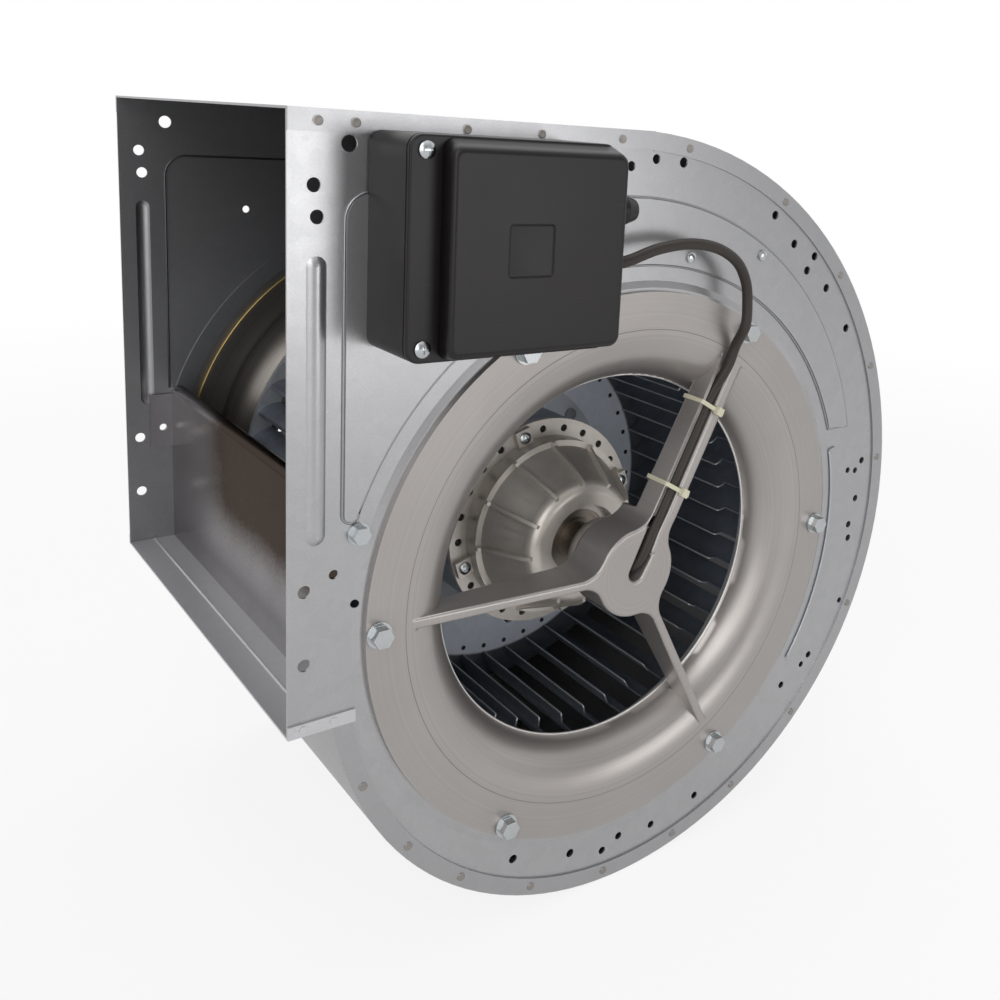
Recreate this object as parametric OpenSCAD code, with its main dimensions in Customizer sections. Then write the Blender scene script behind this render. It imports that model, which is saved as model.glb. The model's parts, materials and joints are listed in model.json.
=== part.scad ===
// Double inlet blower with its motor hung in the front inlet.
// Plan view: x right, y up, z towards the viewer; upright() turns it to stand.

/* [Scroll housing] */
// Width of the housing over the wrap flanges
housing_w = 300; // [280:1:340]
// Radius of the first scroll arc, beside the tongue
spiral_r = 202; // [192:1:215]
// Growth of the scroll radius at each quarter turn
spiral_step = 24; // [20:1:32]
// Length of the outlet bottom in front of the scroll
outlet_len = 23; // [18:0.5:60]
// Height of the outlet bottom below the shaft
outlet_drop = 47; // [40:1:55]
// Thickness of the galvanised sheet
sheet_t = 1.2; // [1:0.1:1.6]
// Width of the wrap flange folded over the side plates
fold_w = 10.5; // [8:0.5:12]
// Height of the cutoff plate lip above the shaft
cutoff_rise = 60; // [50:1:75]

/* [Inlet rings] */
// Gap between the inlet ring flange and the first scroll arc
ring_gap = 31; // [28:0.5:36]
// Thickness of the inlet ring flange
ring_t = 3; // [2.5:0.1:4]
// Width of the inlet ring flange
flange_w = 23; // [20:0.5:26]
// Radial run of the bell mouth from flange to throat
bell_run = 31; // [27:0.5:34]
// Depth of the bell mouth
bell_depth = 24; // [20:0.5:26]
// Wall of the bell mouth
bell_wall = 2.5; // [2:0.1:3]
// Thread size of the ring bolts
bolt_d = 6; // [5:0.5:6]

/* [Motor spider] */
// Height of the hub face above the ring flange
arm_proud = 7; // [5:0.5:9]
// Depth of the arms along the shaft
arm_depth = 30; // [26:0.5:33]
// Thickness of the two web arms
web_t = 6; // [5:0.5:8]
// Width of the channel arm that carries the cable
channel_w = 20; // [18:0.5:24]
// Depth of the channel arm behind its front edge
channel_d = 16; // [14:0.5:20]
// Depth of the cable groove in the channel arm
groove_d = 6.5; // [6:0.25:8]
// Radius of the hub face between the arms
hub_r = 28; // [26:0.5:31]

/* [Wheel] */
// Outer radius of the wheel
wheel_r = 140; // [136:0.5:144]
// Length of the wheel over both end rings
wheel_w = 246; // [220:1:248]
// Radius of the blade inner edges
blade_in_r = 119; // [117:0.5:121]
// Blades on each side of the centre disc
blade_count = 42; // [32:1:48]
// Thickness of the blade sheet
blade_t = 0.8; // [0.6:0.1:1.2]
// Thickness of the centre disc
disc_t = 2; // [1.5:0.1:3]

/* [Motor] */
// Outer radius of the rotor shell
rotor_r = 70; // [68:0.5:73]
// Half length of the rotor shell
rotor_half = 53; // [50:1:56]
// Length of the ribbed end bell in front of the shell
bell_len = 53; // [48:0.5:55]
// Radius of the fixed hollow axle
axle_r = 12; // [11:0.25:13]
// Gap between stator and rotor cores
air_gap = 0.5; // [0.4:0.05:0.8]

/* [Terminal box] */
// Width of the terminal box
box_w = 114; // [100:1:118]
// Height of the terminal box
box_h = 104; // [96:1:104]
// Depth of the box base
box_base_d = 38; // [34:1:44]
// Height of the raised lid face above the lid rim
lid_rise = 11; // [8:0.5:14]
// Diameter of the motor cable
cable_d = 6.5; // [5:0.25:7]

/* [Hidden] */
$fn = 96;
lap = 0.5;
slip = 0.05;
ease = 0.3;
half_w = housing_w / 2;
plate_z = half_w - sheet_t;
plate_in = plate_z - sheet_t;
half_step = spiral_step / 2;
lip_x = sqrt(pow(spiral_r, 2) - pow(outlet_drop - half_step, 2)) - half_step;
outlet_reach = lip_x + outlet_len;
ring_r = spiral_r - ring_gap;
bolt_inset = 7;
ring_bolt_r = ring_r - bolt_inset;
bell_r = ring_r - flange_w;
throat_r = bell_r - bell_run;
scroll_top = 2.5 * spiral_step + spiral_r;
emboss = 1.3;
emboss_edge = 0.8;
pad_z = plate_z + emboss;
ring_z = half_w + ring_t;
arm_z = ring_z + arm_proud;
arm_back = arm_z - arm_depth;
seat_in = ring_r + 2;
seat_out = seat_in + 4;
field_r = ring_r + 15;
opening_r = bell_r + 3;
bell_turn = 2 * atan2(bell_depth, bell_run);
bell_arc = bell_run / sin(bell_turn);
bell_mid = ring_z - bell_arc;
bolt_angles = [0, 60, 120, 180, 240, 300];
bolt_clear = 0.4;
bolt_grip = 11;
head_ratio = 1.92;
nut_h = 5;
groove_w = cable_d + 3;
groove_shift = 3;
web_fillet = 16;
hub_back = arm_back - 14;
axle_front = arm_z - groove_d - 6;
axle_back = rotor_half + 14;
axle_bore = cable_d / 2 + 1.4;
hub_well = axle_bore + 0.6;
blade_out_r = wheel_r - 1.5;
blade_arc = 20;
end_ring_w = 6;
blade_notch = 15;
end_ring_in = blade_in_r + 7;
wheel_half = wheel_w / 2;
blade_end = wheel_half - end_ring_w;
disc_half = disc_t / 2;
disc_r = blade_out_r + 0.5;
hub_flange_r = rotor_r + 16;
hub_flange_t = 4;
rivet_r = rotor_r + 8;
shell_t = 4;
core_out = rotor_r - shell_t;
core_in = core_out - 5.5;
stator_r = core_in - air_gap;
core_half = 30;
winding_l = 14;
flange_z = rotor_half + 4;
rim_z = rotor_half + 17;
rim_r = rotor_r - 10.5;
nose_z = rotor_half + bell_len;
nose_round = 9;
nose_r = 33;
bearing_r = 21;
bearing_w = 14;
bearing_z = nose_z - 8;
hole_circle = rotor_r - 5.5;
hole_step = 15;
hole_phase = 3;
ear_first = 1;
ear_every = 6;
rib_step = 30;
rib_phase = 4;
rib_t = 2.4;
cut_x = spiral_r - half_step - 9.5;
cut_flange = 16;
bottom_end = cut_x - 6;
box_x = cut_x - 9;
box_low = ring_bolt_r * sin(60) + 1.18 * bolt_d + 0.9;
box_top = box_low + box_h;
box_wall = 2.5;
box_round = 7;
lid_t = 2.5;
box_front = pad_z + box_base_d;
seal_t = 1;
lid_rim = box_front + seal_t;
lid_mark = 1;
lid_face = lid_rim + lid_t + lid_rise;
lid_front = lid_face;
strip_w = 16;
gland_y = box_top - 64;
plug_y = box_top - 34.5;
port_z = pad_z + 20;
gland_r = cable_d / 2 + ease;
crescent_in = 37;
crescent_low = 66;
bead_r = 7;
bead_rise = 2;
bead_low = crescent_low - 8;
bead_high = scroll_top - 72;
channel_a = 60;
web_angles = [180, 300];
screw_d = 4;
// Small round holes of the side plates: angle, inset from the outline, diameter
rim_holes = [[93.5, 20, 5.6], [89.3, 15, 5.6], [84.5, 14, 6], [64.4, 16.5, 5.6],
    [58, 21.3, 5.6], [52.7, 15, 5.6], [52.5, 26, 5.6], [46.5, 20.3, 5.6], [37, 18.5, 5.6],
    [9.8, 21.4, 5], [9, 36.5, 4.4], [8.3, 28.3, 4.4], [2.3, 25.4, 5], [-3, 28.8, 5],
    [-5.9, 26.1, 5], [-18.8, 14.6, 4.4], [-30.9, 22.1, 5], [-33.3, 24.3, 4.4],
    [-39.1, 32, 5], [-68.1, 21.6, 5], [-79.4, 22.1, 5], [-87.5, 25.9, 5],
    [-91.4, 19.8, 5], [-99.3, 24.1, 5.4], [-113, 21.7, 5.4]];
// Rivets of the raised field: angle and distance outside the ring seat
field_rivets = [[80.1, 6.8], [63.9, 25.5]];
// Clinched points of the wrap flange: angle and inset from the outline
rim_points = [[84, 5.5], [63.7, 5.5], [45.8, 5.5], [27, 5.5], [9.3, 5.5],
    [-19, 5.5], [-42, 5.5], [-60, 5.5], [-75, 5.5], [-91, 5.5],
    [-107, 5.5], [-123, 5.5], [-137, 5.5], [-153, 5.5]];
// Clinched points along the straight top: distance from the outlet edge
top_points = [14, 32, 90, 134, 187];

// Stands the plan upright about the middle of the whole: plan z faces the viewer
module upright() {
    translate([(outlet_reach - spiral_r - 1.5 * spiral_step) / 2,
        (lid_front - ring_z - 1.2 * bolt_d) / 2,
        (spiral_r + half_step - scroll_top) / 2]) rotate([90, 0, 0]) children();
}

// Distance from the shaft to the scroll outline at an angle
function arc_reach(c, r, a) =
    let (k = c[0] * cos(a) + c[1] * sin(a)) k + sqrt(r * r - c * c + k * k);
function outline_r(a) =
    a > 3 ? arc_reach([-half_step, half_step], spiral_r + 2 * spiral_step, a)
    : a > -87 ? arc_reach([half_step, half_step], spiral_r + spiral_step, a)
    : arc_reach([half_step, -half_step], spiral_r, a);
function polar(r, a) = [r * cos(a), r * sin(a)];

// Quarter of a disc in the quadrant given by the two signs
module quarter(r, sx, sy) {
    intersection() {
        circle(r);
        translate([min(sx, 0) * r, min(sy, 0) * r]) square(r);
    }
}

// Area inside the scroll outline, drawn in by the given amount
module scroll_area(off, lift = 0) {
    translate([half_step, -half_step]) quarter(spiral_r - off, -1, -1);
    translate([half_step, half_step]) quarter(spiral_r + spiral_step - off, 1, -1);
    translate([-half_step, half_step]) quarter(spiral_r + 2 * spiral_step - off, 1, 1);
    translate([-outlet_reach, lift - outlet_drop])
        square([outlet_reach, outlet_drop + scroll_top - off - lift]);
    circle(wheel_r);
}

// Rectangle with round corners
module rounded(w, h, r) {
    translate([r, 0]) square([w - 2 * r, h]);
    translate([0, r]) square([w, h - 2 * r]);
    for (x = [r, w - r])
        for (y = [r, h - r])
            translate([x, y]) circle(r);
}

module ring2d(ro, ri) {
    difference() {
        circle(ro);
        circle(ri);
    }
}

module slab(z0, z1) translate([0, 0, z0]) linear_extrude(z1 - z0) children();

// Raised field between the ring seat and the scroll outline, with round ends
module crescent(inset) {
    left = inset - cut_x - 2;
    top = scroll_top - crescent_in - inset;
    tip = 4.3 - inset;
    turn = 14 - inset;
    difference() {
        union() {
            translate([-half_step, half_step]) intersection() {
                quarter(spiral_r + 2 * spiral_step - crescent_in - inset, 1, 1);
                translate([0, crescent_low - half_step + inset]) square(2 * spiral_r);
            }
            translate([left, crescent_low]) square([-left, top - crescent_low]);
            translate([left + tip, crescent_low]) circle(tip);
        }
        circle(field_r + inset);
        translate([left, top - turn]) difference() {
            square(turn);
            translate([turn, 0]) circle(turn);
        }
    }
}

// Pressed straight bead: outer form when shrink is 0, inner form at sheet_t
module bead(shrink) {
    translate([14 - outlet_reach, 0, plate_z + bead_rise - bead_r]) {
        translate([0, bead_low, 0]) rotate([-90, 0, 0])
            cylinder(r = bead_r - shrink, h = bead_high - bead_low);
        for (y = [bead_low, bead_high]) translate([0, y, 0]) sphere(bead_r - shrink);
    }
}

// Hole shared by the side plates and the tabs of the cutoff plate
module tab_hole() translate([-cut_x - 6, 36]) circle(d = 5);

// Plain holes beside the outlet edge
module outlet_holes() {
    for (p = [[12.6, scroll_top - 34.4, 6.8], [14.2, scroll_top - 49, 6.8],
        [29.5, scroll_top - fold_w - 4.6, 8], [83, scroll_top - 73, 5], [8.5, 30, 6.6], [8.5, -9, 6.6],
        [34.5, 18, 4.5]])
        translate([p[0] - outlet_reach, p[1]]) circle(d = p[2]);
    tab_hole();
}

// Place of the single bolt beside the inlet ring
module plate_bolt_point() translate([6.5 - cut_x, 55.4]) children();

module side_plate() {
    difference() {
        union() {
            slab(plate_in, plate_z) difference() {
                scroll_area(sheet_t + slip, sheet_t + slip);
                circle(seat_out + 1);
            }
            rotate_extrude() polygon([[opening_r, half_w], [seat_in, half_w],
                [seat_out, plate_z], [seat_out + 2, plate_z], [seat_out + 2, plate_in],
                [seat_out, plate_in], [seat_in, plate_z], [opening_r, plate_z]]);
            slab(plate_z - lap, pad_z - emboss / 2) crescent(0);
            slab(plate_z - lap, pad_z) crescent(emboss_edge);
            intersection() {
                bead(0);
                slab(plate_z - lap, half_w + bead_rise)
                    translate([-outlet_reach, 0]) square([4 * bead_r, scroll_top]);
            }
            slab(plate_z - lap, pad_z) intersection() {
                ring2d(field_r + 4, field_r - 2);
                polygon([[0, 0], polar(2 * ring_r, -34), polar(2 * ring_r, 16)]);
            }
            for (p = field_rivets) translate(concat(polar(field_r + p[1], p[0]), pad_z - lap))
                cylinder(d = 7, h = lap + 1.4);
        }
        slab(plate_in - 1, plate_z - 0.1) crescent(2 * sheet_t);
        bead(sheet_t);
        slab(plate_in - 1, half_w + 1) {
            for (h = rim_holes)
                translate(polar(outline_r(h[0]) - h[1], h[0])) circle(d = h[2]);
            outlet_holes();
            plate_bolt_point() circle(d = 5 + bolt_clear);
            for (a = bolt_angles) translate(polar(ring_bolt_r, a))
                circle(d = bolt_d + bolt_clear);
        }
    }
}

module front_side_plate() {
    color("#b9bcc0") upright() difference() {
        side_plate();
        slab(plate_in - 1, pad_z + 1) box_screw_points() circle(d = screw_d + bolt_clear);
    }
}

module rear_side_plate() {
    color("#b9bcc0") upright() mirror([0, 0, 1]) side_plate();
}

module scroll_wrap() {
    color("#c2c5c9") upright() {
        slab(-half_w, half_w) difference() {
            scroll_area(0);
            scroll_area(sheet_t);
        }
        for (s = [0, 1]) mirror([0, 0, s]) {
            slab(plate_z, half_w) difference() {
                scroll_area(0);
                scroll_area(fold_w);
                translate([28 - outlet_reach, scroll_top - fold_w - 4]) circle(d = 8);
            }
            slab(half_w - lap, half_w + 0.4) {
                for (p = rim_points)
                    translate(polar(outline_r(p[0]) - p[1], p[0])) circle(d = 5);
                for (x = top_points)
                    translate([x - outlet_reach, scroll_top - 5.5]) circle(d = 5);
            }
        }
    }
}

module outlet_bottom() {
    color("#bdc0c5") upright() {
        translate([-outlet_reach, -outlet_drop, -half_w])
            cube([outlet_reach - lip_x, sheet_t, housing_w]);
        translate([-outlet_reach, -outlet_drop, slip - plate_in])
            cube([outlet_reach - bottom_end, sheet_t, 2 * plate_in - 2 * slip]);
        for (s = [0, 1]) mirror([0, 0, s]) {
            translate([-outlet_reach, -outlet_drop, plate_z])
                cube([outlet_reach - bottom_end, 7, sheet_t]);
            for (x = [8, 24])
                translate([x - outlet_reach, 3.6 - outlet_drop, half_w - lap])
                    cylinder(d = 4.5, h = lap + 0.4);
        }
        translate([16 - outlet_reach, sheet_t - outlet_drop, 1 - plate_in])
            cylinder(r = 1, h = 2 * plate_in - 2);
    }
}

module cutoff_plate() {
    foot = sheet_t - outlet_drop;
    color("#a9acb2") upright() difference() {
        union() {
            translate([-cut_x, foot, slip - plate_in])
                cube([sheet_t, cutoff_rise - foot, 2 * plate_in - 2 * slip]);
            for (s = [0, 1]) mirror([0, 0, s])
                translate([sheet_t - cut_x - cut_flange, 22, plate_in - slip - sheet_t])
                    cube([cut_flange, cutoff_rise - 22, sheet_t]);
            translate([0, 0, slip - plate_in]) linear_extrude(2 * plate_in - 2 * slip)
                translate([5 - cut_x, cutoff_rise]) intersection() {
                    ring2d(5, 5 - sheet_t);
                    translate([-6, 0]) square([12, 6]);
                }
        }
        for (s = [0, 1]) mirror([0, 0, s]) slab(plate_in - 10, plate_in + 10) tab_hole();
    }
}

// Hexagon flange bolt for thread d, underside of the head at z 0
module flange_bolt(d) {
    cylinder(d = 2.36 * d, h = 0.27 * d);
    translate([0, 0, 0.2 * d]) cylinder(d = head_ratio * d, h = d, $fn = 6);
    translate([0, 0, -bolt_grip]) cylinder(d = d, h = bolt_grip + lap);
}

module weld_nut(d) {
    difference() {
        cylinder(d = head_ratio * d, h = nut_h, $fn = 6);
        translate([0, 0, -1]) cylinder(d = d + 2 * slip, h = nut_h + 2);
    }
}

module plate_bolts() {
    color("#8f949b") upright() for (s = [0, 1]) mirror([0, 0, s])
        translate([0, 0, plate_z]) plate_bolt_point() flange_bolt(5);
}

module plate_nuts() {
    color("#8f949b") upright() for (s = [0, 1]) mirror([0, 0, s])
        translate([0, 0, plate_in - nut_h]) plate_bolt_point() weld_nut(5);
}

module ring_bolts() {
    for (a = bolt_angles)
        translate(concat(polar(ring_bolt_r, a), ring_z)) flange_bolt(bolt_d);
}

module ring_nuts() {
    for (a = bolt_angles)
        translate(concat(polar(ring_bolt_r, a), plate_z - nut_h)) weld_nut(bolt_d);
}

module front_ring_bolts() {
    color("#8f949b") upright() ring_bolts();
}

module rear_ring_bolts() {
    color("#8f949b") upright() mirror([0, 0, 1]) ring_bolts();
}

module front_ring_nuts() {
    color("#8f949b") upright() ring_nuts();
}

module rear_ring_nuts() {
    color("#8f949b") upright() mirror([0, 0, 1]) ring_nuts();
}

// Half section of the inlet ring: flange, bell curve and throat
module ring_section() {
    translate([bell_r, half_w]) square([ring_r - bell_r, ring_t]);
    translate([bell_r, bell_mid]) intersection() {
        ring2d(bell_arc, bell_arc - bell_wall);
        polygon([[0, 0], polar(2 * bell_arc, 90), polar(2 * bell_arc, 90 + bell_turn / 2),
            polar(2 * bell_arc, 90 + bell_turn)]);
    }
    translate([bell_r, bell_mid] + polar(bell_arc - bell_wall / 2, 90 + bell_turn))
        circle(bell_wall / 2 + lap);
}

module inlet_ring() {
    difference() {
        rotate_extrude() ring_section();
        slab(half_w - 1, ring_z + 1) for (a = bolt_angles)
            translate(polar(ring_bolt_r, a)) circle(d = bolt_d + bolt_clear);
    }
}

// Concave corner between the hub face and an arm of the given half width
module hub_corner(half) {
    s = sqrt(pow(hub_r + web_fillet, 2) - pow(half + web_fillet, 2));
    for (m = [0, 1]) mirror([0, m]) difference() {
        polygon([[0, 0], [s, 0], [s, half + web_fillet]]);
        translate([s, half + web_fillet]) circle(web_fillet);
    }
}

// Front and back edges of the arms at radius r
function arm_front_at(r) = arm_z
    - (arm_proud + 0.7) * max(0, r - hub_r - 12) / (bell_r - hub_r - 9);
function channel_back_at(r) = arm_z - channel_d
    + (arm_front_at(throat_r + 4) - arm_z) * r / (throat_r + 4);

// Side view of an arm whose back edge runs from hub_z to throat_z
module arm_side(hub_z, throat_z) {
    polygon([[0, hub_z], [throat_r + 4, throat_z],
        [bell_r + 3, ring_z - 2], [bell_r + 3, arm_front_at(bell_r + 3)],
        [hub_r + 12, arm_z], [0, arm_z]]);
}

module arm(w, hub_z, throat_z) {
    rotate([90, 0, 0]) translate([0, 0, -w / 2]) linear_extrude(w) arm_side(hub_z, throat_z);
}

module spider_arms() {
    difference() {
        union() {
            slab(arm_back, arm_z) {
                circle(hub_r);
                for (a = web_angles) rotate(a) hub_corner(web_t / 2);
                rotate(channel_a) hub_corner(channel_w / 2);
            }
            for (a = web_angles) rotate(a)
                arm(web_t, arm_back, ring_z - bell_depth + 5);
            rotate(channel_a) arm(channel_w, arm_z - channel_d, channel_back_at(throat_r + 4));
            rotate_extrude() polygon([[0, hub_back], [hub_r - 8, hub_back],
                [hub_r - 6, hub_back + 2], [hub_r - 3, arm_back + lap], [0, arm_back + lap]]);
        }
        rotate_extrude() translate([bell_r, bell_mid]) circle(bell_arc - bell_wall / 2);
        cable_groove();
        slab(axle_front, arm_z + 1) {
            circle(hub_well);
            rotate(channel_a) translate([0, -hub_well]) square([hub_r / 2, 2 * hub_well]);
        }
        slab(hub_back - 1, axle_front + lap) circle(axle_r + slip);
    }
}

// Groove that follows the front edge of the channel arm to a slot in the hub
module cable_groove() {
    floor_z = arm_z - groove_d;
    out = bell_r + 30;
    low = groove_shift - groove_w / 2;
    rotate(channel_a) {
        translate([0, low + groove_w, 0]) rotate([90, 0, 0]) linear_extrude(groove_w)
            polygon([[hub_r, arm_z + 1], [hub_r, floor_z], [hub_r + 12, floor_z],
                [out, arm_front_at(out) - groove_d], [out, arm_z + 1]]);
        slab(floor_z, arm_z + 1) {
            polygon([[0, -hub_well], [hub_r + 1, low], [hub_r + 1, low + groove_w],
                [0, hub_well]]);
            circle(hub_well);
        }
    }
}

module motor_spider() {
    color("#a8a49d") upright() {
        inlet_ring();
        spider_arms();
    }
}

module rear_inlet_ring() {
    color("#b3b0a6") upright() mirror([0, 0, 1]) inlet_ring();
}

// Places shared by the box screws and their holes in box and plate
module box_screw_points() {
    for (x = [24, box_w - 52])
        translate([x - box_x, box_top - box_h + 56]) children();
}

module box_outline(inset) {
    translate([inset - box_x, box_top - box_h + inset])
        rounded(box_w - 2 * inset, box_h - 2 * inset, box_round - inset);
}

// Bosses for the two lid screws
module lid_screw_points() {
    for (y = [7, box_h - 7]) translate([8 - box_x, box_top - box_h + y]) children();
}

module box_base() {
    color("#202124") upright() difference() {
        union() {
            slab(pad_z, box_front) difference() {
                box_outline(0);
                box_outline(box_wall);
            }
            slab(pad_z, pad_z + box_wall) box_outline(1);
            slab(pad_z, ring_z + ease + box_wall) intersection() {
                box_outline(1);
                circle(seat_out + 1 + box_wall);
            }
            slab(pad_z, box_front) intersection() {
                box_outline(1);
                lid_screw_points() circle(5);
            }
        }
        slab(pad_z - 1, ring_z + ease) circle(seat_out + 1);
        slab(pad_z - 1, half_w + 0.4 + ease)
            translate([-box_x - 1, scroll_top - fold_w - ease]) square([box_w + 2, box_h]);
        slab(box_front - 16, box_front + 1) lid_screw_points() circle(d = screw_d + 2 * slip);
        slab(pad_z - 1, pad_z + box_wall + 1) box_screw_points()
            circle(d = screw_d + bolt_clear);
        for (y = [gland_y, plug_y])
            translate([box_w - box_x - 6, y, port_z]) rotate([0, 90, 0])
                cylinder(r = gland_r + 2.5, h = 12);
    }
}

// Wedge that slopes the top or bottom wall of the raised lid face
module lid_slope(y, lean) {
    translate([strip_w - box_x - 1, y, lid_rim + lid_t]) rotate([lean, 0, 0])
        translate([0, lean < 0 ? -box_h : 0, -lid_rise]) cube([box_w, box_h, 3 * lid_rise]);
}

module box_lid() {
    left = strip_w - box_x;
    wide = box_w - strip_w;
    color("#232427") upright() difference() {
        union() {
            slab(lid_rim, lid_rim + lid_t) box_outline(0);
            difference() {
                slab(lid_rim + lid_t - lap, lid_face)
                    translate([left, box_low]) rounded(wide, box_h, box_round);
                lid_slope(box_top - 1, 20);
                lid_slope(box_low + 1, -12);
            }
        }
        slab(lid_face - lid_mark, lid_face + 1)
            translate([46 - box_x, box_top - 64]) square(25);
        slab(lid_rim - 1, lid_face - lid_t)
            translate([left + box_wall, box_low + 5])
                rounded(wide - 2 * box_wall, box_h - 15, box_round - box_wall);
        slab(lid_rim - 1, lid_rim + lid_t + 1) lid_screw_points()
            circle(d = screw_d + bolt_clear);
    }
}

module lid_seal() {
    color("#3a3b3e") upright() slab(box_front, lid_rim) difference() {
        box_outline(0.4);
        box_outline(box_wall - 0.4);
        lid_screw_points() circle(3.2);
    }
}

// Pan head screw with a cross recess, underside of the head at z 0
module pan_screw(d, grip) {
    difference() {
        intersection() {
            cylinder(d = 2 * d, h = 0.65 * d);
            translate([0, 0, -0.9 * d]) sphere(1.55 * d);
        }
        for (a = [0, 90]) rotate(a)
            translate([-0.5 * d, -0.1 * d, 0.3 * d]) cube([d, 0.2 * d, d]);
    }
    translate([0, 0, -grip]) cylinder(d = d, h = grip + 0.1);
}

module lid_screws() {
    color("#8b8f95") upright() translate([0, 0, lid_rim + lid_t])
        lid_screw_points() pan_screw(screw_d, 14);
}

module box_screws() {
    color("#8b8f95") upright() translate([0, 0, pad_z + box_wall])
        box_screw_points() pan_screw(screw_d, 10);
}

module terminal_block() {
    color("#d8d4c6") upright() difference() {
        translate([40 - box_x, box_top - box_h + 20, pad_z + box_wall])
            cube([56, 18, 15]);
        for (i = [0:5])
            translate([44.5 + 9.4 * i - box_x, box_top - box_h + 29, pad_z + box_wall + 9])
                cylinder(d = 5.5, h = 10);
    }
}

module cable_gland() {
    color("#1c1d1f") upright() translate([box_w - box_x, gland_y, port_z])
        rotate([0, 90, 0]) difference() {
            union() {
                translate([0, 0, -box_wall - 1]) cylinder(r = gland_r + 2.4, h = 10);
                cylinder(r = gland_r + 5.5, h = 5, $fn = 6);
                translate([0, 0, 5 - lap]) cylinder(r1 = gland_r + 4.5, r2 = gland_r + 2, h = 9);
            }
            translate([0, 0, -10]) cylinder(r = gland_r, h = 40);
        }
}

module blank_plug() {
    color("#1c1d1f") upright() translate([box_w - box_x, plug_y, port_z])
        rotate([0, 90, 0]) {
            translate([0, 0, -box_wall - 1]) cylinder(r = gland_r + 2.4, h = 6);
            cylinder(r = gland_r + 6, h = 6, $fn = 6);
            cylinder(r = gland_r + 5, h = 21);
            translate([0, 0, 21 - lap]) cylinder(r1 = gland_r + 5, r2 = gland_r + 2.4, h = 8);
        }
}

// Route of the motor cable from the box to the hollow axle
tie_r = [throat_r - 6, throat_r - 61];
box_right = box_w - box_x;
function groove(r, side) = [r * cos(channel_a) - side * sin(channel_a),
    r * sin(channel_a) + side * cos(channel_a),
    arm_front_at(r) - groove_d + cable_d / 2 + ease];
cable_knots = [[box_right - 8, gland_y, port_z], [box_right + 12, gland_y, port_z],
    [box_right + 28, gland_y + 2, port_z], [box_right + 49, gland_y + 8, port_z - 0.5],
    [box_right + 73, gland_y + 10.5, port_z - 1], [box_right + 95, gland_y + 7.5, port_z - 2],
    [box_right + 113, gland_y - 1, port_z - 3.5],
    [ring_bolt_r * 0.402, ring_bolt_r * 1.075, ring_z + 12],
    [ring_bolt_r * 0.422, ring_bolt_r * 0.99, ring_z + 11.6],
    [ring_bolt_r * 0.416, ring_bolt_r * 0.909, ring_z + 12.5],
    groove(bell_r + 4, groove_shift + 5.4) + [0, 0, groove_d + 2.4],
    groove(bell_r - 8, groove_shift + 1.5) + [0, 0, groove_d - 0.6],
    groove(bell_r - 17, groove_shift + 0.6) + [0, 0, groove_d / 2 + 0.5],
    groove(throat_r + 4, groove_shift) + [0, 0, 0.6],
    groove(throat_r - 8, groove_shift), groove(throat_r - 37, groove_shift),
    groove(throat_r - 61, groove_shift), groove(hub_r + 14, groove_shift),
    groove(hub_r, groove_shift - 1), groove(hub_r / 2, 0.6),
    groove(hub_r / 4, 0) - [0, 0, 1.2], groove(2.4, 0) - [0, 0, 4.2],
    groove(0.2, 0) - [0, 0, 9], [0, 0, axle_front - 12], [0, 0, axle_front - 28],
    [0, 0, axle_front - 44]];
cable_sides = 10;
cable_parts = 3;
knot_last = len(cable_knots) - 1;
function knot(i) = cable_knots[max(0, min(knot_last, i))];
function smooth(a, b, c, d, t) = 0.5 * (2 * b + (c - a) * t
    + (2 * a - 5 * b + 4 * c - d) * t * t + (3 * b - a - 3 * c + d) * t * t * t);
cable_path = concat([for (i = [0:knot_last - 1], j = [0:cable_parts - 1])
    smooth(knot(i - 1), knot(i), knot(i + 1), knot(i + 2), j / cable_parts)],
    [knot(knot_last)]);
path_last = len(cable_path) - 1;
function unit(v) = v / norm(v);
function heading(i) =
    unit(cable_path[min(i + 1, path_last)] - cable_path[max(i - 1, 0)]);
// Carries a side direction along the path without twist
function carry(i, u) =
    let (t = heading(i), w = unit(u - (u * t) * t))
    i == path_last ? [w] : concat([w], carry(i + 1, w));
cable_side = carry(0, [0, 1, 0]);

module motor_cable() {
    points = [for (i = [0:path_last], k = [0:cable_sides - 1])
        let (a = 360 * k / cable_sides, u = cable_side[i], v = cross(heading(i), u))
        cable_path[i] + cable_d / 2 * (cos(a) * u + sin(a) * v)];
    walls = [for (i = [0:path_last - 1], k = [0:cable_sides - 1])
        let (n = (k + 1) % cable_sides, p = i * cable_sides, q = p + cable_sides)
        [p + k, q + k, q + n, p + n]];
    ends = [[for (k = [0:cable_sides - 1]) k],
        [for (k = [0:cable_sides - 1]) path_last * cable_sides + cable_sides - 1 - k]];
    color("#2a2521") upright() polyhedron(points, concat(walls, ends), convexity = 6);
}

module cable_ties() {
    w = channel_w + 2 * slip;
    half = 1.3;
    band = 1.2;
    color("#e4dcc4") upright() for (r = tie_r) rotate(channel_a) {
        low = channel_back_at(r + half) - slip;
        high = arm_front_at(r - half) + max(0, cable_d + ease - groove_d) + slip;
        translate([r - half, 0, 0]) rotate([90, 0, 90]) linear_extrude(2 * half) difference() {
            translate([-w / 2 - band, low - band])
                rounded(w + 2 * band, high - low + 2 * band, 2);
            translate([-w / 2, low]) square([w, high - low]);
        }
        translate([r - 2.6, groove_shift - groove_w / 2 - 5.4, high])
            cube([5.2, 5, 3.6]);
    }
}

module motor_axle() {
    color("#7d8187") upright() difference() {
        slab(-axle_back, axle_front) circle(axle_r);
        slab(core_half, axle_front + 1) circle(axle_bore);
        translate([0, 0, core_half + winding_l + 4]) rotate([0, 90, 0])
            cylinder(r = 4, h = 2 * axle_r);
        slab(-axle_back + 4, -axle_back + 5.5) ring2d(axle_r + 1, axle_r - 1);
    }
}

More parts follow.
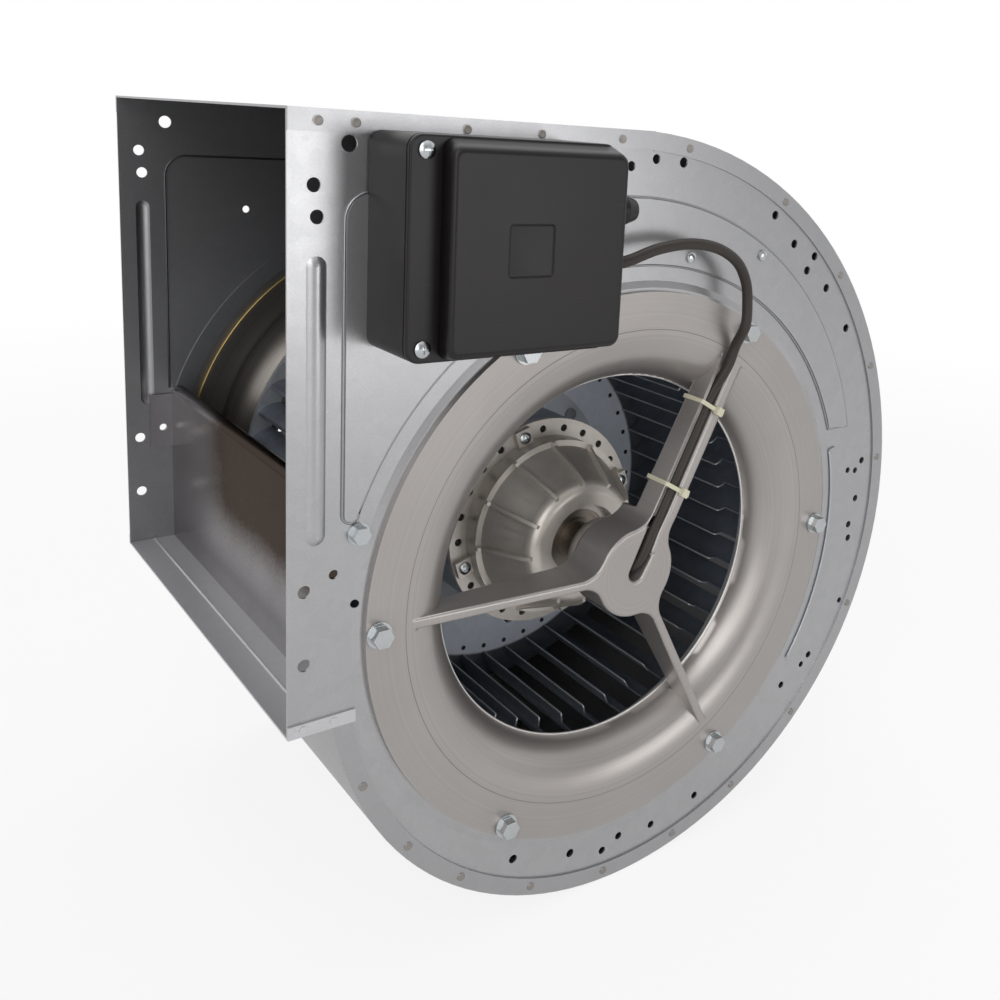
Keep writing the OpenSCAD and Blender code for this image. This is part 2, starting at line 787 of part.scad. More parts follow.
module axle_clip() {
    color("#4c4f54") upright() slab(-axle_back + 4.1, -axle_back + 5.4) difference() {
        ring2d(axle_r + 3, axle_r - 1 + slip);
        translate([0, -2]) square([2 * axle_r, 4]);
    }
}

module stator_core() {
    color("#6b6d70") upright() slab(-core_half, core_half) difference() {
        circle(stator_r);
        circle(axle_r + slip);
        for (i = [0:23]) rotate(i * hole_step) {
            translate([stator_r - 20, -2.5]) square([14, 5]);
            translate([stator_r - 8, -0.9]) square([10, 1.8]);
        }
    }
}

module stator_windings() {
    color("#8a4f2a") upright() for (s = [0, 1]) mirror([0, 0, s])
        rotate_extrude() translate([stator_r - 24, core_half]) rounded(20, winding_l, 5);
}

module rotor_shell() {
    color("#77797c") upright() difference() {
        union() {
            slab(-rotor_half, rotor_half) ring2d(rotor_r, core_out + slip);
            for (s = [0, 1]) mirror([0, 0, s])
                slab(rotor_half - 6, rotor_half) ring2d(rotor_r - lap, core_in + 0.7);
            slab(disc_half, disc_half + hub_flange_t) ring2d(hub_flange_r, rotor_r - lap);
        }
        for (i = [0:3]) rotate(hole_phase + (ear_first + ear_every * i) * hole_step) {
            slab(rotor_half - 7, rotor_half + 1)
                translate([hole_circle, 0]) circle(d = screw_d + 2 * slip);
            slab(-rotor_half - 1, -rotor_half + 7)
                translate([hole_circle, 0]) circle(d = screw_d + 2 * slip);
        }
        for (i = [0:7]) rotate(45 * i) slab(0, disc_half + hub_flange_t + 1)
            translate([rivet_r, 0]) circle(d = 5 + 2 * slip);
    }
}

module rotor_core() {
    color("#5d5f62") upright() slab(-core_half, core_half) ring2d(core_out, core_in);
}

// Section of the front end bell: flange, rim, cone and round nose
module bell_section() {
    polygon([[rim_r - 8, rotor_half], [rotor_r + 1, rotor_half], [rotor_r + 1, flange_z],
        [rim_r, flange_z], [rim_r, rim_z], [rim_r - 4, rim_z],
        [nose_r + nose_round, nose_z - nose_round], [nose_r, nose_z - nose_round],
        [nose_r, nose_z], [bearing_r + 5, nose_z], [bearing_r + 5, bearing_z],
        [bearing_r, bearing_z], [bearing_r, bearing_z - bearing_w],
        [bearing_r + 4, bearing_z - bearing_w], [bearing_r + 4, nose_z - nose_round - 4],
        [nose_r + nose_round - 4, nose_z - nose_round - 4], [rim_r - 8, rim_z - 4],
        [rim_r - 8, rotor_half]]);
    translate([nose_r, nose_z - nose_round]) quarter(nose_round, 1, 1);
}

module end_bell() {
    color("#a09c96") upright() difference() {
        union() {
            rotate_extrude() bell_section();
            for (i = [0:11]) rotate(rib_phase + rib_step * i) rotate([90, 0, 0])
                translate([0, 0, -rib_t / 2]) linear_extrude(rib_t)
                    polygon([[rim_r - 6, flange_z], [rim_r, flange_z],
                        [rim_r, rim_z + 2.4], [rim_r - 2, rim_z + 3.4],
                        [nose_r + nose_round + 3.2, nose_z - nose_round + 2.6],
                        [nose_r + 8, nose_z - 1.2], [nose_r + 2, nose_z - 3],
                        [nose_r, nose_z - nose_round - 2]]);
            for (i = [0:3]) rotate(hole_phase + (ear_first + ear_every * i) * hole_step)
                slab(flange_z - lap, flange_z + 4)
                    translate([rim_r - 2, -5.5]) square([rotor_r - rim_r + 2, 11]);
        }
        for (i = [0:23]) rotate(hole_phase + hole_step * i)
            slab(rotor_half - 1, flange_z + 5)
                translate([hole_circle, 0])
                    circle(d = i % ear_every == ear_first ? screw_d + bolt_clear : 5);
    }
}

module bell_screws() {
    color("#c9ccd0") upright()
        for (i = [0:3]) rotate(hole_phase + (ear_first + ear_every * i) * hole_step)
            translate([hole_circle, 0, flange_z + 4]) pan_screw(screw_d, 13);
}

module rear_cap() {
    color("#a09c96") upright() mirror([0, 0, 1]) difference() {
        rotate_extrude() polygon([[bearing_r, rotor_half - bearing_w / 2],
            [bearing_r + 4, rotor_half - bearing_w / 2], [bearing_r + 4, rotor_half + 2],
            [core_in - 3, rotor_half], [rotor_r, rotor_half], [rotor_r, flange_z],
            [rim_r, flange_z], [rim_r - 3, flange_z + 2], [bearing_r + 5, flange_z + 6],
            [bearing_r, flange_z + 6]]);
        for (i = [0:3]) rotate(hole_phase + (ear_first + ear_every * i) * hole_step)
            slab(rotor_half - 1, flange_z + 5)
                translate([hole_circle, 0]) circle(d = screw_d + bolt_clear);
    }
}

module rear_cap_screws() {
    color("#c9ccd0") upright() mirror([0, 0, 1])
        for (i = [0:3]) rotate(hole_phase + (ear_first + ear_every * i) * hole_step)
            translate([hole_circle, 0, flange_z]) pan_screw(screw_d, 9);
}

module bearing() {
    difference() {
        cylinder(r = bearing_r - slip, h = bearing_w - 1);
        translate([0, 0, -1]) cylinder(r = axle_r + slip, h = bearing_w + 1);
        for (z = [-1, bearing_w - 2]) translate([0, 0, z]) linear_extrude(2)
            ring2d(bearing_r - 2.5, axle_r + 2.5);
    }
}

module front_bearing() {
    color("#9fa3a8") upright() translate([0, 0, bearing_z - bearing_w]) bearing();
}

module rear_bearing() {
    color("#9fa3a8") upright() mirror([0, 0, 1])
        translate([0, 0, rotor_half - bearing_w / 2]) bearing();
}

module wheel_disc() {
    color("#9aa3b0") upright() slab(-disc_half, disc_half) difference() {
        ring2d(disc_r, rotor_r + slip);
        for (i = [0:blade_count - 1]) rotate(360 * i / blade_count)
            translate([blade_in_r - 5, 0]) circle(d = 3.6);
        rotate(277) translate([98, 0]) circle(d = 8);
        for (i = [0:7]) rotate(45 * i) translate([rivet_r, 0]) circle(d = 5 + 2 * slip);
    }
}

module disc_rivets() {
    color("#8f949b") upright() for (i = [0:7]) rotate(45 * i) translate([rivet_r, 0, 0]) {
        slab(-disc_half - lap, disc_half + hub_flange_t + lap) circle(d = 5);
        slab(disc_half + hub_flange_t, disc_half + hub_flange_t + 1.6) circle(d = 9);
        slab(-disc_half - 1.6, -disc_half) circle(d = 9);
    }
}

// Row of forward curved blades on one side of the centre disc
module blade_row() {
    difference() {
        slab(disc_half, blade_end) for (i = [0:blade_count - 1]) rotate(360 * i / blade_count)
            intersection() {
                translate([blade_in_r, blade_arc]) difference() {
                    quarter(blade_arc, 1, -1);
                    circle(blade_arc - blade_t);
                }
                circle(blade_out_r);
            }
        slab(blade_end - blade_notch, blade_end + 1) circle(end_ring_in);
    }
}

module front_blades() {
    color("#4a4e57") upright() blade_row();
}

module rear_blades() {
    color("#4a4e57") upright() mirror([0, 0, 1]) blade_row();
}

module wheel_end_ring() {
    rotate_extrude() {
        translate([end_ring_in, blade_end]) square([wheel_r - end_ring_in, end_ring_w - 3]);
        translate([end_ring_in + 3, blade_end + end_ring_w - 3])
            circle(3);
        translate([wheel_r - 3, blade_end + end_ring_w - 3]) circle(3);
        translate([end_ring_in + 3, blade_end]) square([wheel_r - end_ring_in - 6, end_ring_w]);
    }
}

module front_end_ring() {
    color("#8d95a0") upright() wheel_end_ring();
}

module rear_end_ring() {
    color("#8d95a0") upright() mirror([0, 0, 1]) wheel_end_ring();
}

front_side_plate();
rear_side_plate();
scroll_wrap();
outlet_bottom();
cutoff_plate();
plate_bolts();
plate_nuts();
motor_spider();
rear_inlet_ring();
front_ring_bolts();
rear_ring_bolts();
front_ring_nuts();
rear_ring_nuts();
box_base();
box_lid();
lid_seal();
lid_screws();
box_screws();
terminal_block();
cable_gland();
blank_plug();
motor_cable();
cable_ties();
motor_axle();
axle_clip();
stator_core();
stator_windings();
rotor_shell();
rotor_core();
end_bell();
bell_screws();
rear_cap();
rear_cap_screws();
front_bearing();
rear_bearing();
wheel_disc();
disc_rivets();
front_blades();
rear_blades();
front_end_ring();
rear_end_ring();
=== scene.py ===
import json

import bmesh
import bpy
import numpy as np
from mathutils import Matrix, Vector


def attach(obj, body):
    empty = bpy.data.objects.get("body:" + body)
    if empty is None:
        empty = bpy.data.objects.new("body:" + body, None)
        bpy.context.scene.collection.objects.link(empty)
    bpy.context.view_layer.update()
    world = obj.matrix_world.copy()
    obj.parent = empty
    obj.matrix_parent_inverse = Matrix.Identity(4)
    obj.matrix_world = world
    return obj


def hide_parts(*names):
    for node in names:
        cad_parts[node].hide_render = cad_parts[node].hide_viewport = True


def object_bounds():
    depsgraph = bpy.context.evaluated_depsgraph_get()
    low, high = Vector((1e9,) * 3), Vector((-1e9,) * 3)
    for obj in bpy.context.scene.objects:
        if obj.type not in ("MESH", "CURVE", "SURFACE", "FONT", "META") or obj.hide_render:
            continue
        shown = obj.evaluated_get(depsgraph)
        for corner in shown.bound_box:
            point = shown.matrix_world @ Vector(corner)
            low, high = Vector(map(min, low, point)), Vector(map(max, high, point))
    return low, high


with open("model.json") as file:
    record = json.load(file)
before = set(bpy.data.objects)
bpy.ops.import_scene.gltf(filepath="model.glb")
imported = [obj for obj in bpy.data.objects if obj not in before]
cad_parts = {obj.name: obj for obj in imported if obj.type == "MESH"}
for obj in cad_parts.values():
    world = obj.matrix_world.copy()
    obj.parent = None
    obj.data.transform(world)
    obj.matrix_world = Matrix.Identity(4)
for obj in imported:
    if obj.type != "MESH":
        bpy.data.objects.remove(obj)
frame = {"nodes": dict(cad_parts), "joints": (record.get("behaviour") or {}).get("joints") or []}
cad_low, cad_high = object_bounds()
NODES = frame["nodes"]
MM = 0.001

# The shaft's middle in the shared frame, in mm: plan x is right, y up and z towards the viewer.
SHAFT_X, SHAFT_Y, SHAFT_Z = (float(c) / MM for c in frame["joints"][0]["pos_m"])


def plan(points):
    """Plan points in mm about the shaft, in metres of the shared frame: (x, -z, y) plus the shaft."""
    p = np.asarray(points, float)
    return np.stack([p[..., 0] + SHAFT_X, SHAFT_Y - p[..., 2], p[..., 1] + SHAFT_Z], -1) * MM


# Camera: place and axes come from a fit to the inlet ring, the outlet corners and the scroll outline.
CAMERA_AT = (-0.40405, -0.60544, 0.23611)
CAMERA_RIGHT = (0.775421, -0.628026, 0.065624)
CAMERA_UP = (0.074201, 0.193833, 0.978224)
CAMERA_BACK = (-0.62707, -0.753666, 0.196902)
LENS_MM, SENSOR_MM, CLIP_M = 38.593, 36.0, 0.01
SHIFT_X, SHIFT_Y = -0.15, -0.15

camera_data = bpy.data.cameras.new("camera")
camera_data.lens = LENS_MM
camera_data.sensor_width = SENSOR_MM
camera_data.shift_x, camera_data.shift_y = SHIFT_X, SHIFT_Y
camera_data.clip_start = CLIP_M
camera = bpy.data.objects.new("camera", camera_data)
bpy.context.scene.collection.objects.link(camera)
camera.matrix_world = Matrix([[*axes, at] for axes, at in zip(
    zip(CAMERA_RIGHT, CAMERA_UP, CAMERA_BACK), CAMERA_AT)] + [[0, 0, 0, 1]])
bpy.context.scene.camera = camera
bpy.context.scene.view_settings.view_transform = "Standard"


def colour(code):
    """Linear RGBA of an sRGB hex value: c/12.92 below 0.04045, else ((c+0.055)/1.055)^2.4."""
    c = np.array([int(code[i:i + 2], 16) for i in (1, 3, 5)]) / 255
    return (*np.where(c <= 0.04045, c / 12.92, ((c + 0.055) / 1.055) ** 2.4), 1.0)


def add(tree, kind, sockets=(), **settings):
    """One node: settings are its attributes, sockets are (input, value or output) pairs."""
    made = tree.nodes.new("ShaderNode" + kind)
    for name, value in settings.items():
        setattr(made, name, value)
    for name, value in dict(sockets).items():
        if isinstance(value, bpy.types.NodeSocket):
            tree.links.new(value, made.inputs[name])
        else:
            made.inputs[name].default_value = value
    return made


def new_material(name, **sockets):
    """A material with its Principled shader wired to the output; sockets set the shader's fixed values."""
    made = bpy.data.materials.new(name)
    made.use_nodes = True
    tree = made.node_tree
    tree.nodes.clear()
    shader = add(tree, "BsdfPrincipled", sockets)
    add(tree, "OutputMaterial", {"Surface": shader.outputs[0]})
    place = add(tree, "TexCoord").outputs["Object"]
    return made, tree, shader, place


def per_mm(size):
    """Texture scale that gives one repeat in size mm."""
    return 1.0 / (size * MM)


def shaft_distance(tree, place):
    """Distance from the shaft in metres."""
    centred = add(tree, "Mapping", {"Vector": place, "Location": (-SHAFT_X * MM, 0, -SHAFT_Z * MM),
                                    "Scale": (1, 0, 1)})
    return add(tree, "VectorMath", {0: centred.outputs[0]}, operation="LENGTH").outputs["Value"]


def dress(tree, shader, base, worn, gloss, height, strength, depth):
    """Skin of a shader: base colour, roughness from gloss[0] to gloss[1] with worn, relief of depth mm."""
    rough = add(tree, "MapRange", {"Value": worn, "To Min": gloss[0], "To Max": gloss[1]})
    bump = add(tree, "Bump", {"Height": height, "Strength": strength, "Distance": depth * MM})
    tree.links.new(base.outputs["Result"], shader.inputs["Base Color"])
    tree.links.new(rough.outputs[0], shader.inputs["Roughness"])
    tree.links.new(bump.outputs[0], shader.inputs["Normal"])


def zinc_sheet(name, pale, dark, gloss, crystal, share, metallic=1.0, shade_from=0):
    """Hot-dip galvanised steel: satin zinc with a fine even grain, and faint crystals some mm across that
    differ in tone by share. Grain is drawn at 0.9 mm, coarser than the real one, so that it shows. With
    shade_from, painted shade darkens it beyond that many mm from the shaft."""
    grain_mm, drift_mm, drift_share, shade_edge, shade_cover = 0.9, 120.0, 0.25, 2.0, 0.9
    made, tree, shader, place = new_material(name, Metallic=metallic)
    cells = add(tree, "TexVoronoi", {"Vector": place, "Scale": per_mm(crystal), "Randomness": 1.0})
    cell = add(tree, "SeparateColor", {"Color": cells.outputs["Color"]}).outputs[0]
    grain = add(tree, "TexNoise", {"Vector": place, "Scale": per_mm(grain_mm), "Detail": 2.0}).outputs[0]
    drift = add(tree, "TexNoise", {"Vector": place, "Scale": per_mm(drift_mm), "Detail": 3.0}).outputs[0]
    even = add(tree, "Mix", {"Factor": drift_share, "A": grain, "B": drift}).outputs[0]
    tone = add(tree, "Mix", {"Factor": share, "A": even, "B": cell}).outputs[0]
    base = add(tree, "Mix", {"Factor": tone, "A": colour(dark), "B": colour(pale)}, data_type="RGBA")
    # Painted shade: a dark band of #1d2026 beyond the given radius stands in for the shade between a wheel's
    # blades.
    if shade_from:
        rim_shade = add(tree, "MapRange", {"Value": shaft_distance(tree, place), "From Min": shade_from * MM,
                                      "From Max": (shade_from + shade_edge) * MM, "To Max": shade_cover})
        base = add(tree, "Mix", {"Factor": rim_shade.outputs[0], "A": base.outputs["Result"],
                                 "B": colour("#1d2026")}, data_type="RGBA")
    dress(tree, shader, base, tone, gloss[::-1], grain, 0.2, 0.03)
    return made


def top_shaded_sheet(name, pale, dark, gloss, low, high):
    """Bright zinc sheet with brown painted shade: sharp crystals 1.4 mm across, and darker from low to high
    mm of height as painted shade, with a cloudy edge 30 mm across, weaker towards the rear side."""
    crystal_mm, crystal_share, cloud_mm, cloud_share = 1.4, 0.1, 30.0, 0.35
    rear_from, rear_to, rear_shade = 40.0, 130.0, 0.2
    made, tree, shader, place = new_material(name, **{"Metallic": 1.0, "Specular Tint": colour("#cbc6c2")})
    cells = add(tree, "TexVoronoi", {"Vector": place, "Scale": per_mm(crystal_mm), "Randomness": 1.0})
    cell = add(tree, "SeparateColor", {"Color": cells.outputs["Color"]}).outputs[0]
    cloud = add(tree, "TexNoise", {"Vector": place, "Scale": per_mm(cloud_mm), "Detail": 3.0}).outputs[0]
    split = add(tree, "SeparateXYZ", {0: place}).outputs
    # Painted shade: the sheet turns dark brown upwards, less so towards the rear side.
    top_shade = add(tree, "MapRange", {"Value": split["Z"], "From Min": low * MM, "From Max": high * MM,
                                  "To Min": -0.2, "To Max": 0.9}, interpolation_type="SMOOTHSTEP").outputs[0]
    top_shade = add(tree, "Math", {0: cloud, 1: cloud_share, 2: top_shade}, operation="MULTIPLY_ADD").outputs[0]
    rear = add(tree, "MapRange", {"Value": split["Y"], "From Min": rear_from * MM, "From Max": rear_to * MM,
                                  "To Min": 1.0, "To Max": rear_shade}, interpolation_type="SMOOTHSTEP")
    top_shade = add(tree, "Math", {0: top_shade, 1: rear.outputs[0]}, operation="MULTIPLY").outputs[0]
    top_shade = add(tree, "Math", {0: cell, 1: crystal_share, 2: top_shade}, operation="MULTIPLY_ADD", use_clamp=True)
    base = add(tree, "Mix", {"Factor": top_shade.outputs[0], "A": colour(pale), "B": colour(dark)},
               data_type="RGBA")
    dress(tree, shader, base, cell, gloss, cell, 0.05, 0.02)
    return made


def turned_metal(name, pale, dark, gloss, line, metallic=1.0):
    """Cast and turned aluminium about the shaft: satin, with faint rings line mm apart from the lathe."""
    skin_mm, cloud_mm, cloud_share = 1.1, 55.0, 0.45
    made, tree, shader, place = new_material(name, Metallic=metallic)
    rings = add(tree, "TexNoise", {"W": shaft_distance(tree, place), "Scale": per_mm(line), "Detail": 3.0},
                noise_dimensions="1D").outputs[0]
    skin = add(tree, "TexNoise", {"Vector": place, "Scale": per_mm(skin_mm), "Detail": 3.0}).outputs[0]
    cloud = add(tree, "TexNoise", {"Vector": place, "Scale": per_mm(cloud_mm), "Detail": 3.0}).outputs[0]
    tone = add(tree, "Mix", {"Factor": cloud_share, "A": rings, "B": cloud}).outputs[0]
    base = add(tree, "Mix", {"Factor": tone, "A": colour(dark), "B": colour(pale)}, data_type="RGBA")
    dress(tree, shader, base, skin, gloss, rings, 0.25, 0.03)
    return made


def cast_metal(name, pale, dark, gloss, grain, depth, metallic=1.0):
    """Die-cast or plated metal: fine even grain of about a mm, and a slow drift of tone in its skin."""
    cloud_mm = 35.0
    made, tree, shader, place = new_material(name, Metallic=metallic)
    cloud = add(tree, "TexNoise", {"Vector": place, "Scale": per_mm(cloud_mm), "Detail": 5.0,
                                   "Roughness": 0.6}).outputs[0]
    sand = add(tree, "TexNoise", {"Vector": place, "Scale": per_mm(grain), "Detail": 4.0,
                                  "Roughness": 0.7}).outputs[0]
    base = add(tree, "Mix", {"Factor": cloud, "A": colour(dark), "B": colour(pale)}, data_type="RGBA")
    dress(tree, shader, base, sand, gloss, sand, 0.4, depth)
    return made


def moulded(name, code, worn_code, gloss, grain, depth):
    """Moulded plastic or rubber: eroded-tool grain that breaks the gloss, and pale rub marks some mm long."""
    haze_mm, haze_share, rub_mm = 40.0, 0.5, 2.2
    made, tree, shader, place = new_material(name, **{"Specular IOR Level": 0.3})
    skin = add(tree, "TexNoise", {"Vector": place, "Scale": per_mm(grain), "Detail": 3.0}).outputs[0]
    hazy = add(tree, "TexNoise", {"Vector": place, "Scale": per_mm(haze_mm), "Detail": 5.0,
                                  "Roughness": 0.65}).outputs[0]
    turned = add(tree, "Mapping", {"Vector": place, "Rotation": (0.0, 0.9, 0.0), "Scale": (0.06, 1.0, 1.0)})
    rubs = add(tree, "TexNoise", {"Vector": turned.outputs[0], "Scale": per_mm(rub_mm), "Detail": 2.0})
    marks = add(tree, "MapRange", {"Value": rubs.outputs[0], "From Min": 0.68, "From Max": 0.8,
                                   "To Max": 0.5}).outputs[0]
    worn = add(tree, "Math", {0: hazy, 1: haze_share, 2: marks}, operation="MULTIPLY_ADD").outputs[0]
    base = add(tree, "Mix", {"Factor": worn, "A": colour(code), "B": colour(worn_code)}, data_type="RGBA")
    dress(tree, shader, base, hazy, gloss, skin, 0.35, depth)
    return made


# Skins that are oxidised or blasted scatter light like a dull solid, so these metals are only part metallic.
GALVANISED = zinc_sheet("galvanised_sheet", "#b7b7b9", "#a0a0a2", (0.25, 0.33), 6.0, 0.16, 0.85)
SHADED_ZINC = zinc_sheet("galvanised_wrap_sheet", "#b4b4b6", "#9d9d9f", (0.3, 0.38), 6.0, 0.12)
# Painted shade: the rear plate is the same zinc painted darker, for the shade inside the outlet.
SHADED_REAR_ZINC = zinc_sheet("shade_darkened_rear_plate", "#9e9ea0", "#8a8a8c", (0.36, 0.46), 6.0, 0.12)
# Painted light: the outlet's bottom is the same zinc painted paler, for the light that falls on it from
# above.
LIT_BOTTOM_ZINC = zinc_sheet("light_painted_bottom_sheet", "#d0d0d3", "#b9b9bc", (0.34, 0.44), 6.0, 0.12, 0.7)
# Painted shade: the rear crease is the same zinc painted dark, for its slope that faces away from the light.
CREASE_SHADE_ZINC = zinc_sheet("painted_shade_crease_zinc", "#6c6c6e", "#5a5a5c", (0.4, 0.5), 6.0, 0.12)
# Painted shade: the rolled foot of the raised field is the same zinc painted darker, for its curve that
# catches less light.
ROLL_SHADE_ZINC = zinc_sheet("shade_darkened_rolled_edge", "#a2a2a4", "#8d8d8f", (0.26, 0.34), 6.0, 0.12)
BRIGHT_SHEET = top_shaded_sheet("top_shaded_galvanised_sheet", "#b9b9bd", "#403936", (0.22, 0.27), -45, 0)
# Painted light: the disc is painted much paler than the blades of the same zinc, and darker beyond 118 mm as
# painted shade between the blades.
LIT_DISC_ZINC = zinc_sheet("lit_disc_zinc_with_rim_shade", "#d6dde8", "#bec5d0", (0.42, 0.55), 5.0, 0.3, 0.1, 118)
# Painted shade: the blades are the same zinc as the plates, painted darker for the shade inside the wheel.
SHADED_BLADE_ZINC = zinc_sheet("shade_darkened_blade_zinc", "#767d89", "#5d646f", (0.3, 0.42), 5.0, 0.3, 0.45)
# Painted highlight: pale zinc on the blade edges, the wheel's end rings and the rib's edge stands in for the
# glints on them.
HIGHLIGHT_ZINC = zinc_sheet("painted_highlight_zinc_edge", "#c4c8cc", "#a5a9ad", (0.3, 0.4), 5.0, 0.2, 0.6)
RING_CAST = turned_metal("turned_ring_aluminium", "#aea9a6", "#9a9592", (0.28, 0.38), 1.6, 0.65)
# Painted highlight: the front throat lip is painted paler than the ring.
LIP_HIGHLIGHT = turned_metal("painted_highlight_lip_aluminium", "#e2dfdc", "#cbc7c4", (0.25, 0.32), 1.6, 0.6)
# Painted shade: a darker line on the bend where the bell starts.
BEND_SHADE_LINE = turned_metal("bend_shade_line_aluminium", "#8d8886", "#7b7775", (0.45, 0.55), 1.6, 0.5)
BELL_CAST = cast_metal("cast_bell_aluminium", "#dcd6cf", "#99928b", (0.28, 0.4), 1.1, 0.1, 0.5)
# Painted shade: the rear inlet ring, the rear throat lip and a band inside the rear ring's rim are dark for
# the dark inside of the housing that they reflect.
SHADED_RING_STEEL = turned_metal("pressed_ring_steel", "#7d7974", "#605c57", (0.28, 0.4), 2.0, 0.85)
# Painted highlight: a golden ring on the rear ring's seat stands in for a warm glint on its rounded step.
GOLDEN_HIGHLIGHT = turned_metal("golden_painted_highlight_edge", "#b39a66", "#937c4a", (0.3, 0.4), 2.0, 0.8)
DARK_WARM_ZINC = cast_metal("dark_warm_zinc_clinch", "#a19c97", "#7d7771", (0.4, 0.55), 0.8, 0.05, 0.7)
BRIGHT_ZINC = cast_metal("bright_zinc_plate", "#cdd0d1", "#a6aaad", (0.16, 0.28), 0.7, 0.02)
GROUND_STEEL = cast_metal("ground_steel", "#958d84", "#766e66", (0.3, 0.42), 0.6, 0.02)
LAMINATIONS = cast_metal("lamination_steel", "#77797b", "#5a5c5e", (0.45, 0.6), 0.8, 0.04)
COPPER = cast_metal("varnished_copper", "#8f5228", "#6d3a1b", (0.3, 0.45), 1.0, 0.1)
ROTOR_STEEL = cast_metal("turned_rotor_steel", "#b6bbc2", "#9ba0a7", (0.4, 0.55), 0.8, 0.04, 0.5)
# Painted shade: a near-black finish for the dark discs inside the bores.
BORE_SHADE = cast_metal("painted_bore_shade", "#1f1d1b", "#151412", (0.6, 0.7), 0.8, 0.02, 0.0)
BLACK_PLASTIC = moulded("moulded_black_abs", "#131011", "#252122", (0.3, 0.42), 0.8, 0.04)
CABLE_PVC = moulded("pvc_cable_sheath", "#2a2522", "#453e39", (0.38, 0.5), 1.5, 0.04)
SEAL_RUBBER = moulded("seal_rubber", "#242425", "#38383a", (0.65, 0.75), 1.0, 0.05)
NYLON = moulded("natural_nylon", "#c9c5ad", "#d8d4be", (0.35, 0.45), 1.2, 0.02)
TERMINAL_PLASTIC = moulded("terminal_polyamide", "#d6d2c4", "#e2decf", (0.4, 0.5), 0.9, 0.03)

FINISH = {
    GALVANISED: ["front_side_plate"],
    SHADED_REAR_ZINC: ["rear_side_plate"],
    SHADED_ZINC: ["scroll_wrap"],
    LIT_BOTTOM_ZINC: ["outlet_bottom"],
    BRIGHT_SHEET: ["cutoff_plate"],
    RING_CAST: ["motor_spider"],
    SHADED_RING_STEEL: ["rear_inlet_ring"],
    BELL_CAST: ["end_bell", "rear_cap"],
    BRIGHT_ZINC: ["plate_bolts", "plate_nuts", "front_ring_bolts", "rear_ring_bolts", "front_ring_nuts",
                  "rear_ring_nuts", "lid_screws", "box_screws", "bell_screws", "rear_cap_screws",
                  "disc_rivets"],
    BLACK_PLASTIC: ["box_base", "box_lid", "cable_gland", "blank_plug"],
    SEAL_RUBBER: ["lid_seal"],
    CABLE_PVC: ["motor_cable"],
    NYLON: ["cable_ties"],
    TERMINAL_PLASTIC: ["terminal_block"],
    GROUND_STEEL: ["motor_axle", "axle_clip", "front_bearing", "rear_bearing"],
    LAMINATIONS: ["stator_core", "rotor_core"],
    COPPER: ["stator_windings"],
    ROTOR_STEEL: ["rotor_shell"],
    LIT_DISC_ZINC: ["wheel_disc"],
    HIGHLIGHT_ZINC: ["front_end_ring", "rear_end_ring"],
    SHADED_BLADE_ZINC: ["front_blades", "rear_blades"],
}
for finish, names in FINISH.items():
    for name in names:
        slots = NODES[name].data.materials
        slots.clear()
        slots.append(finish)


def grid_faces(rows, columns, closed=False):
    """Quads of a rows by columns grid of points, each row a ring; closed joins the last row to the first."""
    r, c = np.meshgrid(np.arange(rows if closed else rows - 1), np.arange(columns), indexing="ij")
    nxt, below = (c + 1) % columns, (r + 1) % rows
    return np.stack([r * columns + c, r * columns + nxt, below * columns + nxt, below * columns + c],
                    -1).reshape(-1, 4)


def end_caps(rows, columns):
    """The two faces that close a rows by columns grid over its first and its last row."""
    ring = np.arange(columns)
    return np.stack([ring[::-1], ring + (rows - 1) * columns])


def copies(faces, points, count):
    """Face lists of count copies of one grid, each shifted by that grid's points."""
    return (faces[None] + np.arange(count)[:, None, None] * points).reshape(-1, faces.shape[1])


def piece(name, points, faces, finish, body):
    """Mesh object at the origin from metre points and faces, with its finish and body."""
    mesh = bpy.data.meshes.new(name)
    mesh.from_pydata(np.asarray(points).reshape(-1, 3), [], faces)
    mesh.polygons.foreach_set("use_smooth", np.ones(len(mesh.polygons), bool))
    mesh.materials.append(finish)
    made = bpy.data.objects.new(name, mesh)
    bpy.context.scene.collection.objects.link(made)
    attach(made, body)
    return made


def smooth_route(knots, parts):
    """Catmull-Rom curve through the knots, parts points to each span."""
    k = np.vstack([knots[:1], knots, knots[-1:]])
    t = np.linspace(0, 1, parts, endpoint=False)[:, None]
    a, b, c, d = (k[i:len(k) - 3 + i][:, None, :] for i in range(4))
    spans = 0.5 * (2 * b + (c - a) * t + (2 * a - 5 * b + 4 * c - d) * t ** 2
                   + (3 * b - a - 3 * c + d) * t ** 3)
    return np.vstack([spans.reshape(-1, 3), knots[-1:]])


# Any direction that no route starts in.
OFF_ROUTE = (0.3, 0.5, 0.8)


def tube(route, radius, sides):
    """Points of a round tube: route(s) + radius * (cos(a) u + sin(a) v), with u carried without twist."""
    ahead = np.gradient(route, axis=0)
    ahead /= np.linalg.norm(ahead, axis=1)[:, None]
    side = np.zeros_like(route)
    side[0] = np.cross(ahead[0], OFF_ROUTE)
    for i in range(len(route)):
        u = side[max(i - 1, 0)]
        u = u - ahead[i] * (u @ ahead[i])
        side[i] = u / np.linalg.norm(u)
    other = np.cross(ahead, side)
    a = np.linspace(0, 2 * np.pi, sides, endpoint=False)
    return route[:, None, :] + radius * (
        np.cos(a)[:, None] * side[:, None, :] + np.sin(a)[:, None] * other[:, None, :])


